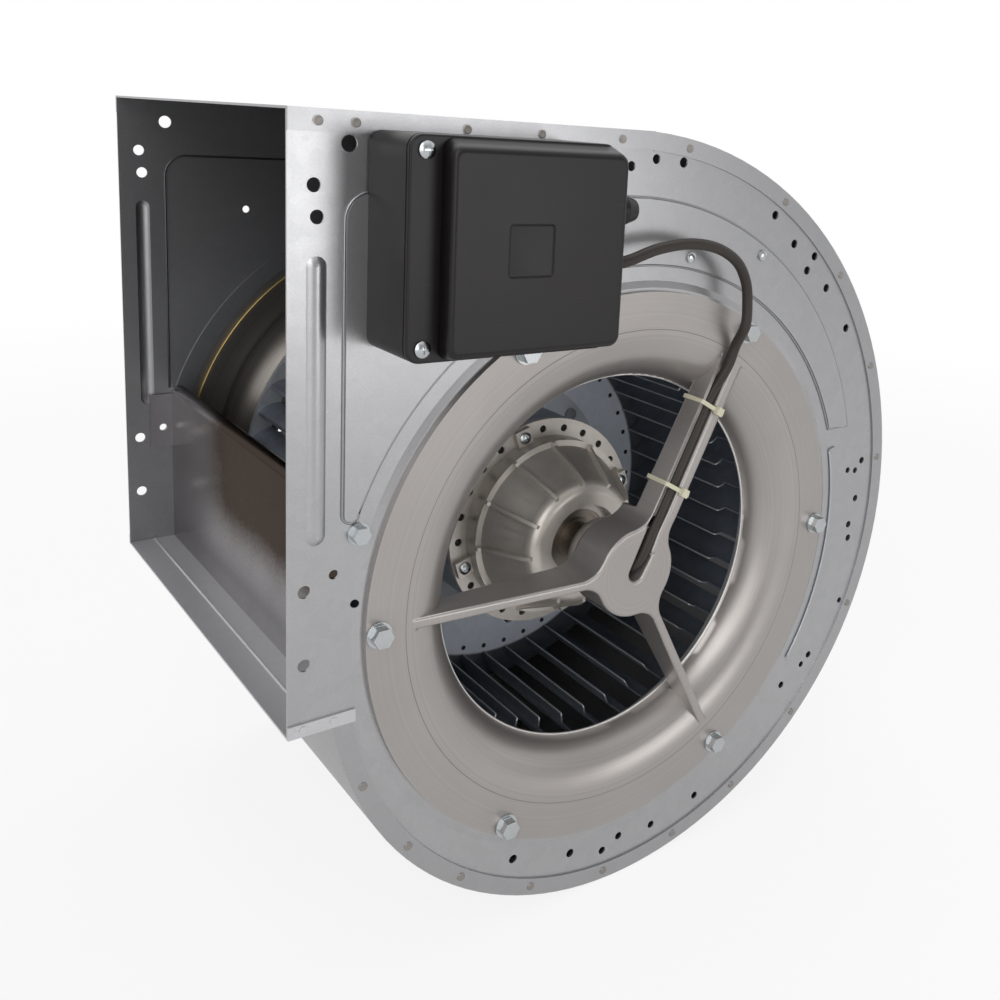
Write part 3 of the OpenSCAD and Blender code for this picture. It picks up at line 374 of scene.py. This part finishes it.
# Motor cable: out of the box gland, in one loop over the ring, along the arm's groove and into the axle.
BOX_RIGHT, GLAND_Y, PORT_Z = -57.5, 190.0, 170.1
RING_Z, RING_BOLT_R, BELL_R, THROAT_R, HUB_R = 153.0, 164.0, 148.0, 117.0, 28.0
ARM_Z, ARM_SLOPE_FROM, ARM_FRONT_FALL = 160.0, 40.0, 7.7 / 111
GROOVE_D, GROOVE_SHIFT, CHANNEL_ANGLE = 6.5, 3.0, np.radians(60)
CABLE_D, CABLE_CLEAR, CABLE_SIDES, CABLE_PARTS, AXLE_FRONT = 6.5, 0.3, 20, 8, 147.5


def groove(r, side):
    """Point of the cable's middle at radius r in the groove, side mm off the arm's line."""
    front = ARM_Z - ARM_FRONT_FALL * max(0.0, r - ARM_SLOPE_FROM)
    c, s = np.cos(CHANNEL_ANGLE), np.sin(CHANNEL_ANGLE)
    return np.array([r * c - side * s, r * s + side * c, front - GROOVE_D + CABLE_D / 2 + CABLE_CLEAR])


CABLE_KNOTS = np.array([
    (BOX_RIGHT - 8, GLAND_Y, PORT_Z), (BOX_RIGHT + 12, GLAND_Y, PORT_Z),
    (BOX_RIGHT + 28, GLAND_Y + 2, PORT_Z), (BOX_RIGHT + 49, GLAND_Y + 8, PORT_Z - 0.5),
    (BOX_RIGHT + 73, GLAND_Y + 10.5, PORT_Z - 1), (BOX_RIGHT + 95, GLAND_Y + 7.5, PORT_Z - 2),
    (BOX_RIGHT + 113, GLAND_Y - 1, PORT_Z - 3.5),
    (RING_BOLT_R * 0.402, RING_BOLT_R * 1.075, RING_Z + 12),
    (RING_BOLT_R * 0.422, RING_BOLT_R * 0.99, RING_Z + 11.6),
    (RING_BOLT_R * 0.416, RING_BOLT_R * 0.909, RING_Z + 12.5),
    groove(BELL_R + 4, GROOVE_SHIFT + 5.4) + (0, 0, GROOVE_D + 2.4),
    groove(BELL_R - 8, GROOVE_SHIFT + 1.5) + (0, 0, GROOVE_D - 0.6),
    groove(BELL_R - 17, GROOVE_SHIFT + 0.6) + (0, 0, GROOVE_D / 2 + 0.5),
    groove(THROAT_R + 4, GROOVE_SHIFT) + (0, 0, 0.6),
    groove(THROAT_R - 8, GROOVE_SHIFT), groove(THROAT_R - 37, GROOVE_SHIFT),
    groove(THROAT_R - 61, GROOVE_SHIFT), groove(HUB_R + 14, GROOVE_SHIFT),
    groove(HUB_R, GROOVE_SHIFT - 1), groove(HUB_R / 2, 0.6),
    groove(HUB_R / 4, 0) - (0, 0, 1.2), groove(2.4, 0) - (0, 0, 4.2), groove(0.2, 0) - (0, 0, 9),
    (0, 0, AXLE_FRONT - 12), (0, 0, AXLE_FRONT - 28), (0, 0, AXLE_FRONT - 44)])
cable_route = plan(smooth_route(CABLE_KNOTS, CABLE_PARTS))
cable_points = tube(cable_route, CABLE_D / 2 * MM, CABLE_SIDES)
cable_faces = grid_faces(len(cable_route), CABLE_SIDES).tolist()
cable_faces += end_caps(len(cable_route), CABLE_SIDES).tolist()
cable = piece("motor_lead", cable_points, cable_faces, CABLE_PVC, "housing")
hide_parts("motor_cable")


# Blade edges: a tube on each blade's inner edge, pale as a painted highlight, that turns out at the notch by
# the end ring.
BLADE_COUNT, BLADE_IN_R, BLADE_ARC, DISC_HALF, NOTCH_Z, NOTCH_R = 42, 119.0, 19.6, 1.0, 102.0, 126.0
EDGE_R, EDGE_SIDES, EDGE_OFF, BEND_FROM, BEND_IN = 0.6, 8, 0.4, 1.2, 0.35


def turned_copies(points, count):
    """Copies of plan points turned about the shaft by i / count of a turn."""
    a = 2 * np.pi * np.arange(count) / count
    turn = np.zeros((count, 3, 3))
    turn[:, 0, 0], turn[:, 0, 1], turn[:, 1, 0], turn[:, 1, 1], turn[:, 2, 2] = (
        np.cos(a), -np.sin(a), np.sin(a), np.cos(a), 1)
    return np.einsum("cij,nj->cni", turn, points)


def blade_edges(name, side):
    """Tube on the blade's inner edge: up the edge at the inner radius, then out along the blade's arc
    (R + A sin(t), A - A cos(t)) to the notch radius; one for each blade."""
    t = np.linspace(0, np.arcsin((NOTCH_R - BLADE_IN_R) / BLADE_ARC), 4)
    straight = np.linspace(DISC_HALF, NOTCH_Z - BEND_FROM, 5)
    z = np.concatenate([straight, [NOTCH_Z - BEND_IN], np.full(len(t) - 1, NOTCH_Z)])
    x = BLADE_IN_R + np.concatenate([np.zeros(len(straight)), [BEND_IN], BLADE_ARC * np.sin(t[1:])])
    y = EDGE_OFF + np.concatenate([np.zeros(len(straight) + 1), BLADE_ARC * (1 - np.cos(t[1:]))])
    one = tube(np.stack([x, y, z * side], -1), EDGE_R, EDGE_SIDES)
    rows, count = len(z), len(z) * EDGE_SIDES
    faces = copies(grid_faces(rows, EDGE_SIDES), count, BLADE_COUNT).tolist()
    faces += copies(end_caps(rows, EDGE_SIDES), count, BLADE_COUNT).tolist()
    return piece(name, plan(turned_copies(one.reshape(-1, 3), BLADE_COUNT)), faces, HIGHLIGHT_ZINC, "rotor")


blade_edges("front_blade_edges", 1)
blade_edges("rear_blade_edges", -1)


# Fine rings of the inlets: the throat lips, the front one pale as a painted highlight and the rear one dark
# as painted shade; a dark line of painted shade on the bend where the bell starts; the rear ring's rim,
# golden as a painted highlight, with a dark band of painted shade inside it.
RING_STEPS = 240


def fine_ring(name, radius, z, wide, thick, finish, sides=12):
    """Ring about the shaft with an oval section: (R + w cos(b)) round the circle, z + t sin(b)."""
    a = 2 * np.pi * np.arange(RING_STEPS) / RING_STEPS
    b = 2 * np.pi * np.arange(sides) / sides
    r = radius + wide * np.cos(b)[None, :]
    grid = np.stack([r * np.cos(a)[:, None], r * np.sin(a)[:, None],
                     np.broadcast_to(z + thick * np.sin(b), (RING_STEPS, sides))], -1)
    faces = grid_faces(RING_STEPS, sides, True)[:, ::-1].tolist()
    return piece(name, plan(grid), faces, finish, "housing")


LIP_R, LIP_Z, OPENING_R, SEAT_R, PLATE_Z, PLATE_IN = 116.7, 128.6, 151.0, 171.0, 148.8, 147.6
fine_ring("throat_lip_front", LIP_R, LIP_Z, 0.9, 0.9, LIP_HIGHLIGHT)
fine_ring("throat_lip_rear", LIP_R, -LIP_Z, 1.1, 1.1, SHADED_RING_STEEL)
fine_ring("bell_bend_shade_line", BELL_R + 0.6, RING_Z - 0.22, 0.34, 0.34, BEND_SHADE_LINE)
fine_ring("rear_ring_edge", SEAT_R, -PLATE_IN, 0.9, 0.9, GOLDEN_HIGHLIGHT)
# The band is a dark sheet of painted shade inside the rear ring's rim.
fine_ring("rear_ring_shade_band", (SEAT_R + OPENING_R) / 2, -PLATE_IN, (SEAT_R - OPENING_R) / 2, 0.7, SHADED_RING_STEEL,
          sides=24)

# Clinched points of the wrap's flanges: pressed cups with a raised rim, in a darker, warmer zinc than the
# sheet.
SPIRAL_R, SPIRAL_STEP, OUTLET_REACH, SCROLL_TOP = 202.0, 24.0, 209.945, 262.0
HALF_STEP, HALF_W, POINT_INSET = SPIRAL_STEP / 2, 150.0, 5.5
UPPER_FROM, RIGHT_FROM = np.radians([3, -87])
RIM_ANGLES = np.radians([84, 63.7, 45.8, 27, 9.3, -19, -42, -60, -75, -91, -107, -123, -137, -153])
TOP_POINTS = np.array([14, 32, 90, 134, 187])
HEAD_SIDES = 20


def clinch_points():
    """Plan points drawn in from the outline: where rays from the shaft meet each quarter's circle, and on
    the straight top."""
    upper, right = RIM_ANGLES > UPPER_FROM, RIM_ANGLES > RIGHT_FROM
    cx = np.where(upper, -HALF_STEP, HALF_STEP)
    cy = np.where(right, HALF_STEP, -HALF_STEP)
    r = SPIRAL_R + SPIRAL_STEP * np.where(upper, 2, np.where(right, 1, 0))
    k = cx * np.cos(RIM_ANGLES) + cy * np.sin(RIM_ANGLES)
    reach = k + np.sqrt(r ** 2 - cx ** 2 - cy ** 2 + k ** 2) - POINT_INSET
    rim = np.stack([reach * np.cos(RIM_ANGLES), reach * np.sin(RIM_ANGLES)], -1)
    top = np.stack([TOP_POINTS - OUTLET_REACH, np.full(len(TOP_POINTS), SCROLL_TOP - POINT_INSET)], -1)
    return np.vstack([rim, top])


def turned_heads(name, points, base, profile, side, finish, body="housing"):
    """Profile of (radius, height over base) turned about each plan point, closed at both ends."""
    profile = np.array(profile)
    a = 2 * np.pi * np.arange(HEAD_SIDES) / HEAD_SIDES
    height = np.broadcast_to((base + profile[:, 1:]) * side, (len(profile), HEAD_SIDES))
    head = np.stack([profile[:, :1] * np.cos(a), profile[:, :1] * np.sin(a), height], -1).reshape(-1, 3)
    centres = np.pad(points, ((0, 0), (0, 1)))
    wall, ends = grid_faces(len(profile), HEAD_SIDES), end_caps(len(profile), HEAD_SIDES)
    if side < 0:
        wall, ends = wall[:, ::-1], ends[:, ::-1]
    count = len(head)
    faces = copies(wall, count, len(centres)).tolist() + copies(ends, count, len(centres)).tolist()
    return piece(name, plan(centres[:, None, :] + head[None]), faces, finish, body)


CUP = [(2.4, -0.2), (2.3, 0.45), (1.9, 0.66), (1.5, 0.58), (1.0, 0.47), (0.5, 0.44), (0.02, 0.44)]
DOME = [(3.6, -0.3), (3.55, 0.7), (3.3, 1.2), (2.7, 1.6), (1.6, 1.95), (0.02, 2.05)]
FIELD_R, PAD_Z = 186.0, 150.1
RIVET_ANGLES, RIVET_R = np.radians([80.1, 63.9]), FIELD_R + np.array([6.8, 25.5])
field_rivets = np.stack([RIVET_R * np.cos(RIVET_ANGLES), RIVET_R * np.sin(RIVET_ANGLES)], -1)
turned_heads("clinch_cups_front", clinch_points(), HALF_W, CUP, 1, DARK_WARM_ZINC)
turned_heads("clinch_cups_rear", clinch_points(), HALF_W, CUP, -1, DARK_WARM_ZINC)
turned_heads("field_rivets_front", field_rivets, PAD_Z, DOME, 1, BRIGHT_ZINC)
turned_heads("field_rivets_rear", field_rivets, PAD_Z, DOME, -1, BRIGHT_ZINC)

# Bores of the bell's flange and the wheel's disc are painted dark inside as painted shade: a dark disc closes
# each below its face.
FLANGE_Z, BORE_CIRCLE, BORE_PHASE, BORE_COUNT, BORE_DEEP = 57.0, 64.5, np.radians(3), 24, 1.2
SCREW_EVERY, SCREW_FIRST = 6, 1
DISC_BORE_CIRCLE, DISC_BORE_DEEP = BLADE_IN_R - 5, 0.1
BELL_BORE, DISC_BORE = [(2.45, -1.0), (2.45, 0.0), (0.02, 0.0)], [(1.75, -1.8), (1.75, 0.0), (0.02, 0.0)]
free_bores = np.arange(BORE_COUNT)
free_bores = BORE_PHASE + 2 * np.pi / BORE_COUNT * free_bores[free_bores % SCREW_EVERY != SCREW_FIRST]
disc_bores = 2 * np.pi / BLADE_COUNT * np.arange(BLADE_COUNT)
turned_heads("bell_bores", BORE_CIRCLE * np.stack([np.cos(free_bores), np.sin(free_bores)], -1),
             FLANGE_Z - BORE_DEEP, BELL_BORE, 1, BORE_SHADE, "rotor")
turned_heads("disc_bores", DISC_BORE_CIRCLE * np.stack([np.cos(disc_bores), np.sin(disc_bores)], -1),
             DISC_HALF - DISC_BORE_DEEP, DISC_BORE, 1, BORE_SHADE, "rotor")


# Pressed edges: the foot of the raised field is rolled, not sharp, and so is the rib beside the ring.
def arc(cx, cy, r, start, end, steps):
    """Plan points of an arc about (cx, cy) from start to end degrees."""
    a = np.radians(np.linspace(start, end, steps))
    return np.stack([cx + r * np.cos(a), cy + r * np.sin(a)], -1)


def lofted(name, stacks, finish):
    """Skins over stacks of rings of points, each stack closed over its first and its last ring."""
    faces, start = [], 0
    for rings in stacks:
        rows, columns = len(rings), len(rings[0])
        faces += (grid_faces(rows, columns) + start).tolist() + (end_caps(rows, columns) + start).tolist()
        start += rows * columns
    points = np.vstack([np.reshape(rings, (-1, 3)) for rings in stacks])
    return piece(name, plan(points), faces, finish, "housing")


def pressed_edge(name, route, z, radius, finish):
    """Roll of one radius along a plan route at height z."""
    line = np.pad(route, ((0, 0), (0, 1)), constant_values=z)
    return lofted(name, [tube(line, radius, EDGE_SIDES)], finish)


FIELD_LEFT, FIELD_TOP, FIELD_LOW, FIELD_TIP, FIELD_TURN = -182.5, 225.0, 66.0, 4.3, 14.0
FIELD_ARC_R, FIELD_INNER_END = FIELD_TOP - HALF_STEP, 159.2
ROLL_R, ROLL_LIFT = 0.8, 0.25
RIB_R, RIB_FROM, RIB_TO, RIB_ROLL_R, RIB_DROP = FIELD_R - 1.8, -33.5, 15.5, 0.75, 0.55
CREASE_LEFT, CREASE_LOW, CREASE_END, CREASE_LIFT = FIELD_LEFT + 1, 64.0, -60.0, 0.15
field_outer_end = np.degrees(np.arcsin((FIELD_LOW - HALF_STEP) / FIELD_ARC_R))
field_edge = np.vstack([
    arc(FIELD_LEFT + FIELD_TIP, FIELD_LOW, FIELD_TIP, 0, -180, 14),
    arc(FIELD_LEFT + FIELD_TURN, FIELD_TOP - FIELD_TURN, FIELD_TURN, 180, 90, 10),
    arc(-HALF_STEP, HALF_STEP, FIELD_ARC_R, 90, field_outer_end, 60),
    arc(0, 0, FIELD_R, np.degrees(np.arcsin(FIELD_LOW / FIELD_R)), FIELD_INNER_END, 90)])
rib_edge = arc(0, 0, RIB_R, RIB_FROM, RIB_TO, 50)
inner_crease = np.vstack([
    [(CREASE_LEFT, CREASE_LOW)],
    arc(CREASE_LEFT + FIELD_TURN, FIELD_TOP - FIELD_TURN, FIELD_TURN, 180, 90, 10),
    [(CREASE_END, FIELD_TOP)]])
# The field's rolled edge is darker as painted shade.
pressed_edge("field_edge_front", field_edge, PLATE_Z + ROLL_LIFT, ROLL_R, ROLL_SHADE_ZINC)
pressed_edge("field_edge_rear", field_edge, -PLATE_Z - ROLL_LIFT, ROLL_R, ROLL_SHADE_ZINC)
# The rear crease is dark as painted shade.
pressed_edge("inner_crease_rear", inner_crease, CREASE_LIFT - PLATE_IN, ROLL_R, CREASE_SHADE_ZINC)
# The rib's edge is pale as a painted highlight.
pressed_edge("rib_edge_front", rib_edge, PAD_Z - RIB_DROP, RIB_ROLL_R, HIGHLIGHT_ZINC)
pressed_edge("rib_edge_rear", rib_edge, RIB_DROP - PAD_Z, RIB_ROLL_R, HIGHLIGHT_ZINC)


# Lid of the terminal box: a flange with a raised face, sloped at top and bottom, all edges moulded round.
BOX_LEFT, BOX_LOW, BOX_TOP, STRIP_W = -171.5, 150.0, 254.0, 16.0
LID_RIM, LID_T, LID_FACE, LID_LAP = 189.1, 2.5, 202.6, 0.5
LID_FOOT = LID_RIM + LID_T
LID_CORNER, FLANGE_ROUND, RIM_MARGIN = 7.0, 1.0, 0.4
FACE_LEFT, FACE_INSET, FACE_CORNER, FACE_ROUND = BOX_LEFT + STRIP_W, 1.0, 5.5, 2.4
SLOPE_TOP, SLOPE_LOW = 4.0, 2.3
MARK_X, MARK_Y, MARK_SIZE, MARK_CORNER = BOX_LEFT + 46, BOX_TOP - 64, 25.0, 1.8
MARK_EDGE = [(-0.6, 0.0), (-0.3, 0.0), (0.0, 0.15), (0.15, 0.45), (0.3, 0.8), (0.6, 0.95), (1.0, 1.0)]


def rounded_ring(x0, x1, y0, y1, r, z):
    """Rounded rectangle of plan points at height z, anticlockwise."""
    corners = [(x1 - r, y1 - r, 0), (x0 + r, y1 - r, 90), (x0 + r, y0 + r, 180), (x1 - r, y0 + r, 270)]
    ring = np.vstack([arc(cx, cy, r, a, a + 90, 7) for cx, cy, a in corners])
    return np.pad(ring, ((0, 0), (0, 1)), constant_values=z)


def rounded_rim(top, radius):
    """(inset, height) pairs of a wall's round top edge, with a flat margin on both sides of it."""
    t = np.radians(np.linspace(0, 90, 5))
    round_part = zip(radius * (1 - np.cos(t)), top - radius + radius * np.sin(t))
    return [(0.0, top - radius - RIM_MARGIN), *round_part, (radius + RIM_MARGIN, top)]


def face_ring(inset, z):
    """Ring of the raised face, whose top and bottom walls lean in with their share of its rise."""
    share = (z - LID_FOOT) / (LID_FACE - LID_FOOT)
    low, top = BOX_LOW + FACE_INSET + SLOPE_LOW * share, BOX_TOP - FACE_INSET - SLOPE_TOP * share
    return rounded_ring(FACE_LEFT + inset, BOX_RIGHT - inset, low + inset, top - inset,
                        FACE_CORNER - inset, z)


flange = [rounded_ring(BOX_LEFT + i, BOX_RIGHT - i, BOX_LOW + i, BOX_TOP - i, LID_CORNER - i, z)
          for i, z in [(0.0, LID_RIM), *rounded_rim(LID_FOOT, FLANGE_ROUND)]]
raised = [face_ring(i, z) for i, z in [(0.0, LID_FOOT - LID_LAP), *rounded_rim(LID_FACE, FACE_ROUND)]]
raised += [rounded_ring(MARK_X + i, MARK_X + MARK_SIZE - i, MARK_Y + i, MARK_Y + MARK_SIZE - i,
                        MARK_CORNER - i, LID_FACE - deep) for i, deep in MARK_EDGE]
lid = lofted("lid_moulding", [flange, raised], BLACK_PLASTIC)
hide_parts("box_lid")

# Edges that turn by more than SHARP_TURN are rounded. Before that, points within SAME_POINT mm are merged
# and edges that turn by less than FLAT_TURN are dissolved.
SHARP_TURN, FLAT_TURN, SAME_POINT = np.radians(35), np.radians(0.4), 0.002


def weigh_edges(mesh, reach):
    """Bevel weight 1 on edges whose faces turn by over SHARP_TURN, |n1 + n2| < 2 cos(SHARP_TURN / 2), and
    that have an end within reach mm of the shaft; the other ones stay sharp."""
    points, ends = np.empty(len(mesh.vertices) * 3), np.empty(len(mesh.edges) * 2, int)
    normals, sizes = np.empty(len(mesh.polygons) * 3), np.empty(len(mesh.polygons), int)
    edge_of = np.empty(len(mesh.loops), int)
    mesh.vertices.foreach_get("co", points)
    mesh.edges.foreach_get("vertices", ends)
    mesh.polygons.foreach_get("normal", normals)
    mesh.polygons.foreach_get("loop_total", sizes)
    mesh.loops.foreach_get("edge_index", edge_of)
    total = np.zeros((len(mesh.edges), 3))
    np.add.at(total, edge_of, np.repeat(normals.reshape(-1, 3), sizes, axis=0))
    from_shaft = points.reshape(-1, 3)[:, [0, 2]] / MM - (SHAFT_X, SHAFT_Z)
    near = np.linalg.norm(from_shaft, axis=1)[ends.reshape(-1, 2)].min(axis=1)
    turned = np.linalg.norm(total, axis=1) < 2 * np.cos(SHARP_TURN / 2)
    chosen = turned & (near < reach)
    weight = mesh.attributes.new("bevel_weight_edge", "FLOAT", "EDGE")
    weight.data.foreach_set("value", chosen.astype(np.float32))
    mesh.edges.foreach_set("use_edge_sharp", turned & ~chosen)


# Cast, moulded and headed pieces have no knife edges: each is a merged copy of its node with rounded edges.
def softened(name, node, body, width, reach=None):
    """Copy of a node, its doubles merged and flat triangles joined, with edges over SHARP_TURN rounded; with
    reach, only those that have an end within that many mm of the shaft."""
    mesh = NODES[node].data.copy()
    if "custom_normal" in mesh.attributes:
        mesh.attributes.remove(mesh.attributes["custom_normal"])
    work = bmesh.new()
    work.from_mesh(mesh)
    bmesh.ops.remove_doubles(work, verts=work.verts, dist=SAME_POINT * MM)
    bmesh.ops.dissolve_limit(work, angle_limit=FLAT_TURN, verts=work.verts, edges=work.edges)
    work.to_mesh(mesh)
    work.free()
    mesh.polygons.foreach_set("use_smooth", np.ones(len(mesh.polygons), bool))
    made = bpy.data.objects.new(name, mesh)
    bpy.context.scene.collection.objects.link(made)
    round_off = made.modifiers.new("rounded_edges", "BEVEL")
    round_off.width = width * MM
    round_off.segments = 2
    round_off.limit_method = "ANGLE"
    round_off.angle_limit = SHARP_TURN
    round_off.harden_normals = True
    if reach:
        round_off.use_clamp_overlap = False
        round_off.limit_method = "WEIGHT"
        weigh_edges(mesh, reach)
    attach(made, body)
    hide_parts(node)
    return made


softened("spider_casting", "motor_spider", "housing", 2.2, 100)
softened("bell_casting", "end_bell", "rotor", 0.7)
softened("box_moulding", "box_base", "housing", 1.2)
softened("gland_moulding", "cable_gland", "housing", 0.5)
softened("plug_moulding", "blank_plug", "housing", 0.5)
softened("ring_bolt_heads_front", "front_ring_bolts", "housing", 0.5)
softened("ring_bolt_heads_rear", "rear_ring_bolts", "housing", 0.5)


# Studio: pale floor, a white wall behind the object, a dimmer room behind the camera, and soft lamps.
FLOOR_HALF, FLOOR_GAP, FLOOR_IN_GLOSS = 6.0, 0.0005, 0.5
SHADOW_NEAR, SHADOW_FAR, SHADOW_LEVEL = 0.5, 2.2, 0.84
WALL_WAY, ROOM_LEVEL, LIGHT_LEVEL = (0.63, 0.77, 0.0), 0.42, 0.4


def studio_floor():
    """Square floor at the object's lowest point, white to the camera but for a soft shadow around it."""
    half, low = FLOOR_HALF, cad_low[2] - FLOOR_GAP
    mesh = bpy.data.meshes.new("floor")
    mesh.from_pydata([(-half, -half, low), (half, -half, low), (half, half, low), (-half, half, low)], [],
                     [(0, 1, 2, 3)])
    made, tree, shader, place = new_material("floor_white", Roughness=0.8)
    shader.inputs["Base Color"].default_value = colour("#f4f4f3")
    path = add(tree, "LightPath").outputs
    white = add(tree, "Emission", {"Color": (1, 1, 1, 1), "Strength": 1.0})
    seen = add(tree, "Math", {0: path["Is Camera Ray"], 1: path["Is Transmission Ray"]}, operation="MAXIMUM")
    seen = add(tree, "Math", {0: path["Is Glossy Ray"], 1: FLOOR_IN_GLOSS, 2: seen.outputs[0]},
               operation="MULTIPLY_ADD", use_clamp=True)
    far = add(tree, "VectorMath", {0: place}, operation="LENGTH").outputs["Value"]
    fade = add(tree, "MapRange", {"Value": far, "From Min": SHADOW_NEAR, "From Max": SHADOW_FAR,
                                  "To Min": SHADOW_LEVEL}, interpolation_type="SMOOTHSTEP")
    share = add(tree, "Math", {0: seen.outputs[0], 1: fade.outputs[0]}, operation="MULTIPLY")
    shown = add(tree, "MixShader", {0: share.outputs[0], 1: shader.outputs[0], 2: white.outputs[0]})
    tree.links.new(shown.outputs[0], tree.nodes["Material Output"].inputs["Surface"])
    mesh.materials.append(made)
    floor = bpy.data.objects.new("floor", mesh)
    bpy.context.scene.collection.objects.link(floor)


def studio_world():
    """White to the camera; in reflections a white wall ahead, a pale ceiling and a grey room behind; and an
    even dim light on what is matt."""
    world = bpy.data.worlds.new("studio")
    bpy.context.scene.world = world
    world.use_nodes = True
    tree = world.node_tree
    tree.nodes.clear()
    way = add(tree, "TexCoord").outputs["Generated"]
    ahead = add(tree, "VectorMath", {0: way, 1: WALL_WAY}, operation="DOT_PRODUCT").outputs["Value"]
    wall = add(tree, "MapRange", {"Value": ahead, "From Min": -0.15, "From Max": 0.35, "To Min": ROOM_LEVEL},
               interpolation_type="SMOOTHSTEP").outputs[0]
    up = add(tree, "SeparateXYZ", {0: way}).outputs["Z"]
    ceiling = add(tree, "MapRange", {"Value": up, "From Min": 0.25, "From Max": 0.8}).outputs[0]
    room = add(tree, "Math", {0: wall, 1: ceiling}, operation="MAXIMUM").outputs[0]
    path = add(tree, "LightPath").outputs
    seen = add(tree, "Math", {0: path["Is Glossy Ray"], 1: path["Is Transmission Ray"]},
               operation="MAXIMUM").outputs[0]
    level = add(tree, "Mix", {"Factor": seen, "A": LIGHT_LEVEL, "B": room}).outputs[0]
    level = add(tree, "Math", {0: level, 1: path["Is Camera Ray"]}, operation="MAXIMUM").outputs[0]
    light = add(tree, "Background", {"Color": (1, 1, 1, 1), "Strength": level})
    add(tree, "OutputWorld", {"Surface": light.outputs[0]})


def lamp(name, at, size, power):
    """Square area lamp of size metres at a point, facing the object's middle."""
    data = bpy.data.lights.new(name, "AREA")
    data.size, data.energy = size, power
    made = bpy.data.objects.new(name, data)
    bpy.context.scene.collection.objects.link(made)
    back = np.array(at) / np.linalg.norm(at)
    right = np.cross((0, 0, 1), back) / np.linalg.norm(np.cross((0, 0, 1), back))
    up = np.cross(back, right)
    made.matrix_world = Matrix([[right[i], up[i], back[i], at[i]] for i in range(3)] + [[0, 0, 0, 1]])


studio_floor()
studio_world()
lamp("front_lamp", (0.8, -2.2, 0.1), 1.0, 9)
lamp("key_lamp", (-1.3, -1.2, 1.5), 1.2, 11)
lamp("left_lamp", (-1.3, -1.5, 0.45), 1.2, 8)
lamp("top_lamp", (0.2, 0.3, 1.9), 1.8, 13)
